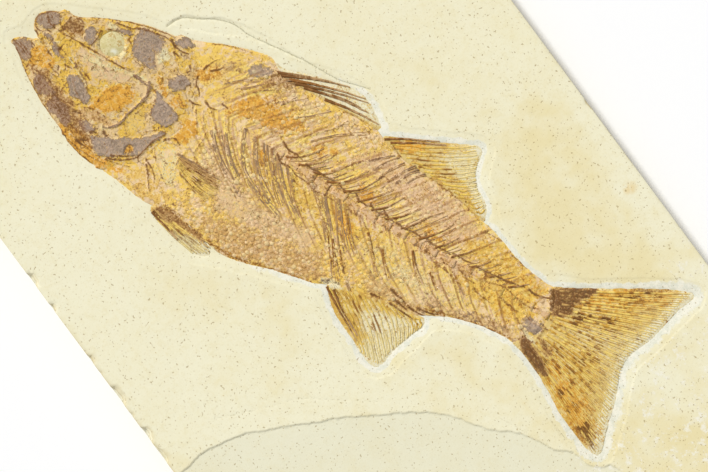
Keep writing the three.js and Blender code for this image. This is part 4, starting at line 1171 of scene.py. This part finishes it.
def stoneFields(points):
    # The height of the slab's top at each point, with its colour fields.
    plan = slabPlan
    spots = toFish(points)
    along = spots[:, 0]
    wander = grain(points, 4.0, 21, 3)
    nibble = grain(points, 1.1, 24, 2)
    inHollow = depthIn(points, [hollow], 9) + 0.7 * wander
    inBed = depthIn(points, bed, 5) + 0.6 * wander + 0.2 * nibble
    inScar = depthIn(points, scar, 5) + 0.5 * wander + 0.2 * nibble
    inFish = depthIn(points, [loops[0] for loops in outlines.values()], 4)
    wide = 1.0 + 1.1 * ramp(along, 280, 292)
    scraped = ramp(inFish + 0.9 * wander + 0.3 * nibble, -2.8 * wide, -1.0)
    scraped *= 0.2 + 0.8 * ramp(along, 110, 165)
    halo = ramp(inHollow, -0.4, 0.5)
    low = ramp(inBed, -0.15, 0.35)
    height = slabHigh[2] + 0.05 * grain(points, 11, 22) + 0.03 * grain(points, 1.6, 23)
    height -= plan["haloDrop"] * ramp(inHollow, -0.3, 0.3) + plan["floorDrop"] * ramp(inHollow, 0.4, 7.0)
    height -= plan["bedDrop"] * low * (1 - 0.6 * halo) + plan["scarDrop"] * ramp(inScar, -0.2, 0.6)
    # Painted shade along the bed's edge, where the top steps down to the lower bed.
    edge = band(inBed, 0.1, 0.6) * (0.45 + 0.35 * grain(points, 9, 28)) * ramp(-halo, -0.6, 0)
    rind = band(inFish + 0.5 * wander, -3.3, 0.4) * ramp(along, 115, 160)
    rind *= ramp(grain(points, 6, 27), -0.5, 0.2)
    # Dark lines: painted shade along the steps at the hollow's, the scar's and the bed's edges, a thin dark
    # line beyond the scraped rim, painted shade along the ledge's groove, and dark fine cracks.
    cracksAndStepShade = [0.25 * band(inHollow, 0.1, 0.5), edge, 0.5 * band(inScar, 0.1, 0.5), 0.55 * rind]
    for line, drift, width, tip, drop, crackAndShade in [(toSlab(ledgeLine), 0.5, 1.6, 0.8, 0.2, 0.9)] + [
            (line, 0.4, 0.9, 0.5, 0.08, 0.7) for line in fineLines]:
        thin = strokeField(points + drift * wander[:, None], line, width, tip)
        height -= drop * thin
        cracksAndStepShade.append(crackAndShade * thin)
    # Under the fish the stone stays below the sheets, and in the eye it swells up to show.
    under = ramp(inFish, 0.6, 1.3)
    height = height * (1 - under) + (floorZ + plan["underFish"]) * under
    eyeFar = np.linalg.norm(spots - eyeMiddle, axis=1)
    eye = ramp(-eyeFar, -6.4, -5.0)
    dome = floorZ + 0.45 + 0.5 * ramp(-eyeFar, -5.8, -2.0) + 0.05 * nibble
    height = height * (1 - eye) + dome * eye
    rustFar = np.linalg.norm(points - [55.5, 109.5], axis=1) + 1.5 * wander
    glintFar = np.linalg.norm((spots - [40, 15.5]) * [0.7, 1.3], axis=1)
    return height, {
        "sunny": patchField(spots, sunnyStone, 20), "glint": ramp(-glintFar, -1.5, -0.7), "halo": scraped,
        "bed": low * (1 - halo), "crackAndStepShade": np.max(cracksAndStepShade, axis=0), "eye": eye,
        "rustSpot": ramp(-rustFar, -4.5, -1.0)}


def slabPoints(rim):
    # Points 2 mm apart all over, and finer ones where the surface has steps.
    lines = [respaced(loop, 0.6) for loop in [hollow, *bed, *scar]]
    lines += [rounded(line) for line in [toSlab(ledgeLine), *fineLines]]
    body = nearTree(np.vstack([loop for loops in outlines.values() for loop in loops]))
    step = slabPlan["fineStep"]
    low = rim.min(axis=0)
    high = rim.max(axis=0)
    columns, rows = ((high - low) / (step, step * 0.866)).astype(int) + 1
    i, j = (index.ravel() for index in np.meshgrid(np.arange(columns), np.arange(rows)))
    i = i - j // 2
    points = low + np.column_stack([(i + j / 2) * step, j * step * 0.866])
    coarse = (i % 4 == 0) & (j % 4 == 0)
    middle = (i % 2 == 0) & (j % 2 == 0)
    line = gaps(nearTree(np.vstack(lines)), points)
    wanted = coarse | (middle & (line < 4.5)) | (line < 1.1)
    wanted[middle] |= gaps(body, points[middle]) < 3.0
    points = points[wanted & np.all((points > low + 0.3) & (points < high - 0.3), axis=1)]
    points = points[gaps(nearTree(rim), points) > 0.5]
    return points[insideOf(points, rim)]


def chipDepth(places):
    # How deeply the top edge is chipped at each place on it.
    depth = 0.25 + 0.25 * np.clip(grain(places, 2.0, 31, 2), 0, 1)
    depth += 1.1 * ramp(grain(places, 7.0, 32), 0.45, 0.9)
    rough = 1 + 0.35 * grain(places, 1.5, 33)
    for centre, length, chip in edgeChips:
        share = np.abs(places[:, 0] - centre) / (length / 2)
        bite = chip * rough * np.sqrt(np.clip(1 - share ** 2, 0, 1))
        depth = np.where((places[:, 1] < slabLow[1] + 0.5) & (share < 1), np.maximum(depth, bite), depth)
    return depth


def slabMesh():
    plan = slabPlan
    (left, front), (right, back) = slabLow[:2], slabHigh[:2]
    outer = respaced(np.array([(left, front), (right, front), (right, back), (left, back)]), plan["rimStep"])
    inward = -outwards(outer)
    chips = chipDepth(outer)[:, None]
    rim = outer + inward * chips
    top, topFaces = triangles([rim], slabPoints(rim))
    height, fields = stoneFields(top)
    count = len(rim)
    edge = height[:count, None]
    rings = [np.hstack([outer + inward * chips * 0.4, edge - chips * 0.45]),
             np.hstack([outer, edge - chips * 0.9])]
    girth = np.arange(count) * plan["rimStep"]
    for number in range(1, plan["sideRings"]):
        z = rings[1][:, 2] * (1 - number / plan["sideRings"])
        rough = grain(np.column_stack([girth, z * 6]), 3.0, 41, 3)
        layer = grain(np.column_stack([girth * 0.02, z]), 1.2, 42, 2)
        inset = np.clip(0.12 + 0.12 * rough + 0.12 * layer, 0, 0.5)
        rings.append(np.column_stack([outer + inward * inset[:, None], z]))
    foot = outer + inward * (0.5 + 0.3 * grain(outer, 3.0, 43))[:, None]
    under, underFaces = triangles([foot], fillPoints([foot], plan["bottomStep"]))
    rough = np.clip(0.35 + 0.4 * grain(under, 24, 44, 3), 0, 0.9)
    rough -= rough.min()
    rough[:count] *= 0.3
    places = np.vstack([np.column_stack([top, height]), *rings, np.column_stack([under, rough])])
    base = len(top)
    start = base + len(rings) * count
    faces = topFaces.tolist()
    upper = np.arange(count)
    for first in range(base, start + 1, count):
        lower = first + np.arange(count)
        faces += np.column_stack([upper, lower, np.roll(lower, -1), np.roll(upper, -1)]).tolist()
        upper = lower
    faces += (underFaces[:, ::-1] + start).tolist()
    piece = meshFrom("limestoneSlab", places, faces, stoneFinish)
    for name, values in fields.items():
        setField(piece, name, np.concatenate([values, np.zeros(len(places) - base)]))
    sides = np.zeros(len(places))
    sides[base:] = 1
    sides[:count] = 0.4
    setField(piece, "side", sides)
    return turnedOut(piece)


slabPiece = keep(slabMesh(), "limestone_slab", "limestone")

# Fin rays. The first rail is a fin's base and the second its margin, both in the fish's frame. Each set has
# its count, the shares of the way where it starts and ends, and its radius at the root and at the tip.
manyRays = [(16, 0.0, 0.97, 0.5, 0.36), (31, 0.6, 0.985, 0.28, 0.2)]
fins = {
    "tailRays": {"node": "tail_fin", "finish": "tail", "bed": 12.72, "flat": 0.6, "bow": 0.0, "wobble": 1.1,
                 "base": [252, 12, 256, 8.4, 256.8, 3, 256, -1.5, 256.6, -6, 254, -11, 250, -16],
                 "margin": [302.4, 36.8, 300, 29, 296.4, 15, 290.4, 0, 293.6, -16, 296, -30, 297.8, -41],
                 "sets": [(17, 0.0, 0.9, 0.66, 0.42), (33, 0.2, 0.97, 0.46, 0.3),
                          (65, 0.5, 0.99, 0.32, 0.2)]},
    "softDorsalRays": {"node": "soft_dorsal_fin", "finish": "dorsal", "bed": 12.66, "flat": 0.6, "bow": 1.2,
                       "wobble": 1.9, "base": [161, 34.5, 172, 31.8, 185, 30.4, 198, 28.2, 206, 26],
                       "margin": [194, 50.4, 197.4, 46, 198.6, 40.5, 202.6, 34.5, 209, 28.6],
                       "sets": manyRays},
    "analRays": {"node": "anal_fin", "finish": "dorsal", "bed": 12.66, "flat": 0.6, "bow": -1.6,
                 "wobble": 2.2, "base": [166, -31, 173, -29.2, 182, -27.2, 194, -26, 204, -25.6],
                 "margin": [191, -49.4, 199.4, -50.4, 201.6, -43, 204.6, -36, 207.8, -28.6],
                 "sets": manyRays},
    "pelvicRays": {"node": "pelvic_fin", "finish": "pairedFin", "bed": 12.74, "flat": 0.7, "bow": 0.5,
                   "wobble": 1.1, "base": [85, -35.2, 86.4, -36.6, 87.6, -38.2],
                   "margin": [114, -37.6, 115, -41.4, 109, -44.6], "sets": [(8, 0.0, 0.98, 0.46, 0.34)]},
    "pectoralRays": {"node": "pectoral_fin", "finish": "pairedFin", "bed": 13.16, "flat": 0.7, "bow": 0.8,
                     "wobble": 1.1, "base": [84.6, -10.8, 86.4, -14, 88.2, -17.4],
                     "margin": [105.2, -12.4, 106.4, -16.6, 103.6, -22.6],
                     "sets": [(10, 0.0, 0.97, 0.27, 0.22), (19, 0.5, 1.0, 0.18, 0.13)]},
}

# The body and the fin webs, as sheets in relief. Each entry of a body sheet changes the one for bone.
boneSheet = {"step": 0.42, "reach": 1.3, "top": 13.08, "edge": 12.5, "fall": 1.4, "grow": 0.25, "rough": 0.3,
             "wave": 0.14, "grit": 0.13, "finish": boneFinish, "slot": "bone"}
sheetPlans = {
    "skull": boneSheet | {"reach": 2.4, "fall": 1.6},
    "upper_jaw": boneSheet | {"reach": 2.4, "top": 13.06, "fall": 1.2, "grow": 0.2, "rough": 0.2,
                              "wave": 0.12, "grit": 0.12},
    "lower_jaw": boneSheet | {"reach": 2.4, "top": 13.06, "grow": 0.22},
    "gill_cover": boneSheet | {"top": 13.12, "rough": 0.2, "wave": 0.12, "grit": 0.12},
    "trunk": boneSheet | {"step": 0.44, "top": 12.98, "fall": 2.6, "wave": 0.1, "grit": 0.1,
                          "finish": skinFinish, "slot": "skin"},
}
webSheet = {"step": 0.6, "reach": 1.3, "top": 12.7, "edge": 12.46, "fall": 2.5, "grow": 0.2, "rough": 0.3,
            "wave": 0.05, "grit": 0.05, "finish": webFinish, "slot": "fin_rays"}
sheetPlans |= {node: webSheet for node in finNodes}


def sheetPiece(node):
    plan = sheetPlans[node]
    reach = plan["reach"]
    near = nearTree(np.vstack([respaced(loop, 0.8) for other in bodyNodes if other != node
                               for loop in outlines[other]]))
    # A joint slips under or over the piece beside it, so that no stone shows between them.
    loops = [respaced(loop, plan["step"], 0.6) for loop in outlines[node]]
    loops = [ragged(loop, plan["grow"] + 0.9 * ramp(-gaps(near, loop), -reach - 1.0, -reach + 0.5),
                    plan["rough"], 5) for loop in loops]
    rim = np.vstack(loops)
    joint = gaps(near, rim) < reach
    openTree = nearTree(rim[~joint])
    jointTree = nearTree(rim[joint]) if joint.any() else None

    def topHeight(points):
        spots = toFish(points)
        share = ramp(gaps(openTree, points), 0, plan["fall"])
        height = plan["top"] + plan["wave"] * grain(points, 8, 51, 2)
        height += plan["grit"] * grain(points, 1.2, 52, 2)
        if node == "trunk":
            flow, _, shown = muscleFlow(spots)
            height += 0.1 * shown * np.cos(flow * 2 * np.pi / 7.4)
            height += 0.06 * shown * np.cos(flow * 2 * np.pi / 1.7)
        height = plan["edge"] + (height + 2.2 * markedFields(spots)[0] - plan["edge"]) * share
        if jointTree:
            height -= 0.22 * (1 - ramp(gaps(jointTree, points), 0, 0.9)) * share
        return np.clip(height, plan["edge"] - 0.02, boneZ)

    piece = sheetMesh(node.title().replace("_", ""), loops, fillPoints(loops, plan["step"]), topHeight,
                      floorZ, plan["finish"])
    # Towards its margin a fin's web is bare of colour.
    spots = toFish(placesOf(piece))
    bare = ramp(spots[:, 1], 37, 41.5) if node == "spiny_dorsal_fin" else 0
    for fin in fins.values():
        if fin["node"] == node:
            bare = ramp(-gaps(nearTree(evenPath(fin["margin"], 200)), spots), -6.0, -1.0)
    stain(piece, 1.5 * bare)
    return keep(piece, node, plan["slot"])


pieces = {node: sheetPiece(node) for node in bodyNodes + finNodes}


def finRays(name, plan):
    parts = []
    for number, (count, first, last, root, tip) in enumerate(plan["sets"]):
        rails = curveFrom(name + "Rails", [plan["base"], plan["margin"]], plan["bed"])
        parts.append(grown(name + str(number), rails, rays, {
            "Rays": count, "Steps": int(60 * (last - first)) + 4, "From": first, "To": last,
            "Root Radius": root * mm, "Tip Radius": tip * mm, "Joints": 16.0, "Bow": plan["bow"] * mm,
            "Wobble": plan["wobble"] * mm, "Bed": plan["bed"] * mm, "Flatness": plan["flat"],
            "Seed": 3 + number, "Finish": rayFinishes[plan["finish"]]}))
    with bpy.context.temp_override(active_object=parts[0], selected_editable_objects=parts):
        bpy.ops.object.join()
    parts[0].name = name
    stain(parts[0])
    keep(parts[0], plan["node"], "fin_rays")


for name, plan in fins.items():
    finRays(name, plan)


# The skeleton: ribs, spines, fin bones and the column's drums.

def hairs(name, seed, drift):
    # Finer bones between neighbours that lie close together.
    random = np.random.default_rng(seed)
    found = []
    paths = [evenPath(path) for path in bones[name][3]]
    for a, b in zip(paths, paths[1:]):
        if np.linalg.norm(a - b, axis=1).max() > 14:
            continue
        for share in (0.35, 0.65):
            found.append((a * (1 - share) + b * share + random.normal(0, drift, 2))[:random.integers(5, 9)])
    return found


# Where a plan gives no paths, they are the ones of the same name under the skin.
bonePlan = {"strands": 1, "bed": 13.06, "finish": spineFinish, "node": "backbone", "slot": "bone"}
finPlan = bonePlan | {"strands": 2, "slot": "fin_rays"}
strandPlans = {
    "neuralSpines": bonePlan | {"spread": 0.4, "root": 0.5, "tip": 0.2, "bed": 13.08},
    "neuralHairs": bonePlan | {"spread": 0.6, "root": 0.2, "tip": 0.12, "finish": rodFinish,
                               "even": hairs("neuralSpines", 5, 0.5)},
    "softFinRods": bonePlan | {"strands": 2, "spread": 1.3, "root": 0.2, "tip": 0.26, "bed": 13.04,
                               "finish": rodFinish},
    "spinyFinRods": bonePlan | {"strands": 2, "spread": 1.4, "root": 0.22, "tip": 0.22, "bed": 13.04,
                                "finish": rodFinish},
    "ribs": bonePlan | {"strands": 5, "spread": 3.2, "root": 0.3, "tip": 0.17, "finish": ribFinish},
    "ribHairs": bonePlan | {"strands": 2, "spread": 1.2, "root": 0.26, "tip": 0.12, "bed": 13.04,
                            "finish": rodFinish, "even": hairs("ribs", 6, 0.6)},
    "haemalSpines": bonePlan | {"strands": 2, "spread": 1.6, "root": 0.38, "tip": 0.2},
    "dorsalSpines": finPlan | {
        "strands": 1, "spread": 0.5, "root": 0.7, "tip": 0.24, "bed": 12.86, "node": "spiny_dorsal_fin",
        "paths": [
            [104, 38.6, 115, 42.6, 127.5, 46], [107, 38.8, 121, 44, 135, 47.5],
            [111, 39, 127, 43.8, 143, 46.8],
            [114, 38.4, 130, 42.6, 145, 45.3], [130, 41, 137, 42, 143, 42], [118, 38.6, 134, 41.6, 147, 41.5],
            [128, 38.4, 141, 39.8, 153, 39.5]]},
    "pelvicSpine": finPlan | {
        "spread": 0.7, "root": 0.6, "tip": 0.5, "bed": 12.84, "node": "pelvic_fin", "paths": [
            [85.4, -37, 90, -38.8, 95, -40.4, 100, -42]]},
    "finEdges": finPlan | {
        "spread": 0.8, "root": 0.5, "tip": 0.22, "bed": 12.8, "node": "soft_dorsal_fin", "paths": [
            [158, 35, 164, 38.6, 171, 41.5, 179, 45], [161, 34.8, 170, 39.6, 182, 44.8],
            [165, -31, 172, -36, 180, -41, 187, -45.5], [168, -31, 176, -37.6, 186, -43.6]]},
    "pectoralEdge": finPlan | {
        "strands": 4, "spread": 1.6, "root": 0.24, "tip": 0.14, "bed": 13.2, "finish": ribFinish,
        "node": "pectoral_fin", "paths": [[83.6, -10.5, 91, -11, 99, -12, 104, -13]]},
}
for number, (name, plan) in enumerate(strandPlans.items()):
    paths = plan.get("even") or [evenPath(path) for path in plan.get("paths") or bones[name][3]]
    lines = curveFrom(name + "Paths", paths, plan["bed"])
    keep(grown(name, lines, strands, {
        "Strands": plan["strands"], "Spread": plan["spread"] * mm, "Root Radius": plan["root"] * mm,
        "Tip Radius": plan["tip"] * mm, "Wobble": 0.7 * mm, "Bed": plan["bed"] * mm, "Flatness": 0.55,
        "Seed": 20 + number, "Finish": plan["finish"]}), plan["node"], plan["slot"])

drums = grown("vertebraRow", curveFrom("columnPath", [evenPath(columnPath[4:], 40)], 12.96), vertebrae, {
    "Count": 18, "Length": 7.3 * mm, "First Width": 4.6 * mm, "Last Width": 4.0 * mm, "Thickness": 0.66 * mm,
    "Waist": 0.26, "Seed": 8, "Finish": vertebraFinish})
stain(drums)
keep(drums, "backbone", "bone")


# Scales on the skin, and dark flecks in the stone.

def scattered(name, sheet, plan):
    cast = sheet.copy()
    bpy.context.scene.collection.objects.link(cast)
    lengths = {label: plan[label] * mm for label in ("Spacing", "Length", "Width", "Thickness")}
    return grown(name, cast, cover, plan | lengths)


trunk = pieces["trunk"]
flat = toFish(placesOf(trunk))
columnGap = gaps(nearTree(evenPath(columnPath, 400)), flat)
scaly = ramp(flat[:, 0], 84, 96) * ramp(columnGap, 3, 6) * ramp(grain(flat, 14, 61, 2), -0.75, 0.1)
scaly *= ramp(-flat[:, 0], -252, -244) * (1 - 0.85 * muscleFlow(flat)[2] * ramp(flat[:, 0], 118, 150))
scaly *= ramp(gaps(nearTree(toFish(respaced(outlines["trunk"][0], 0.5))), flat), 0.9, 2.0)
for name in ("ribs", "spinyFinRods", "softFinRods"):
    for path in bones[name][3]:
        scaly *= 1 - 0.75 * ramp(strokeField(flat, path, 4.0, 0.9), 0, 0.6)
setField(trunk, "scaly", scaly)
scales = scattered("scaleCover", trunk, {
    "Spacing": 1.5, "Density": 1.2e6, "Length": 2.1, "Width": 1.8, "Thickness": 0.36, "Turn": fishTurn,
    "Tilt": 0.09, "Seed": 4, "Finish": scaleFinish})
stain(scales)
keep(scales, "trunk", "skin")

inHalo = np.zeros(len(slabPiece.data.vertices), np.float32)
slabPiece.data.attributes["halo"].data.foreach_get("value", inHalo)
setField(slabPiece, "scaly", 0.9 - 0.8 * inHalo)
keep(scattered("stoneFlecks", slabPiece, {
    "Spacing": 3.0, "Density": 6000.0, "Length": 0.4, "Width": 0.3, "Thickness": 0.1, "Turn": 0.4,
    "Tilt": 0.0, "Seed": 9, "Finish": fleckFinish}), "limestone_slab", "limestone")


# The studio: a pale floor, soft light from the upper left of the view, and a long lens straight above.

studio = {"albedo": 0.99, "world": 0.5, "sun": 2.75, "softness": 9.0, "sunFrom": (-1.399, -0.208, 1.0),
          "aim": (2.7, 3.9), "turn": 53.45, "away": 1.2, "frameWidth": 0.2974, "film": 36, "floor": 3,
          "under": 0.4}
paint = bpy.data.materials.new("paleFloor")
paint.use_nodes = True
paint.node_tree.nodes["Principled BSDF"].inputs["Base Color"].default_value = (*[studio["albedo"]] * 3, 1)
paint.node_tree.nodes["Principled BSDF"].inputs["Roughness"].default_value = 0.9
plane = bpy.data.meshes.new("floor")
plane.from_pydata([(x * studio["floor"], y * studio["floor"], -studio["under"] * mm)
                   for x, y in ((-1, -1), (1, -1), (1, 1), (-1, 1))], [], [(0, 1, 2, 3)])
plane.materials.append(paint)
placed("floor", plane)

world = bpy.data.worlds.new("studio")
world.use_nodes = True
world.node_tree.nodes["Background"].inputs["Color"].default_value = (1, 1, 1, 1)
world.node_tree.nodes["Background"].inputs["Strength"].default_value = studio["world"]
bpy.context.scene.world = world

sun = bpy.data.lights.new("key", "SUN")
sun.energy = studio["sun"]
sun.angle = math.radians(studio["softness"])
placed("key", sun).rotation_euler = Vector(studio["sunFrom"]).to_track_quat("Z", "Y").to_euler()

lens = bpy.data.cameras.new("photoView")
lens.lens = studio["film"] * studio["away"] / studio["frameWidth"]
camera = placed("photoView", lens)
camera.location = (studio["aim"][0] * mm, studio["aim"][1] * mm, studio["away"] + slabHigh[2] * mm)
camera.rotation_euler = (0, 0, math.radians(studio["turn"]))
bpy.context.scene.camera = camera
bpy.context.scene.view_settings.view_transform = "Standard"
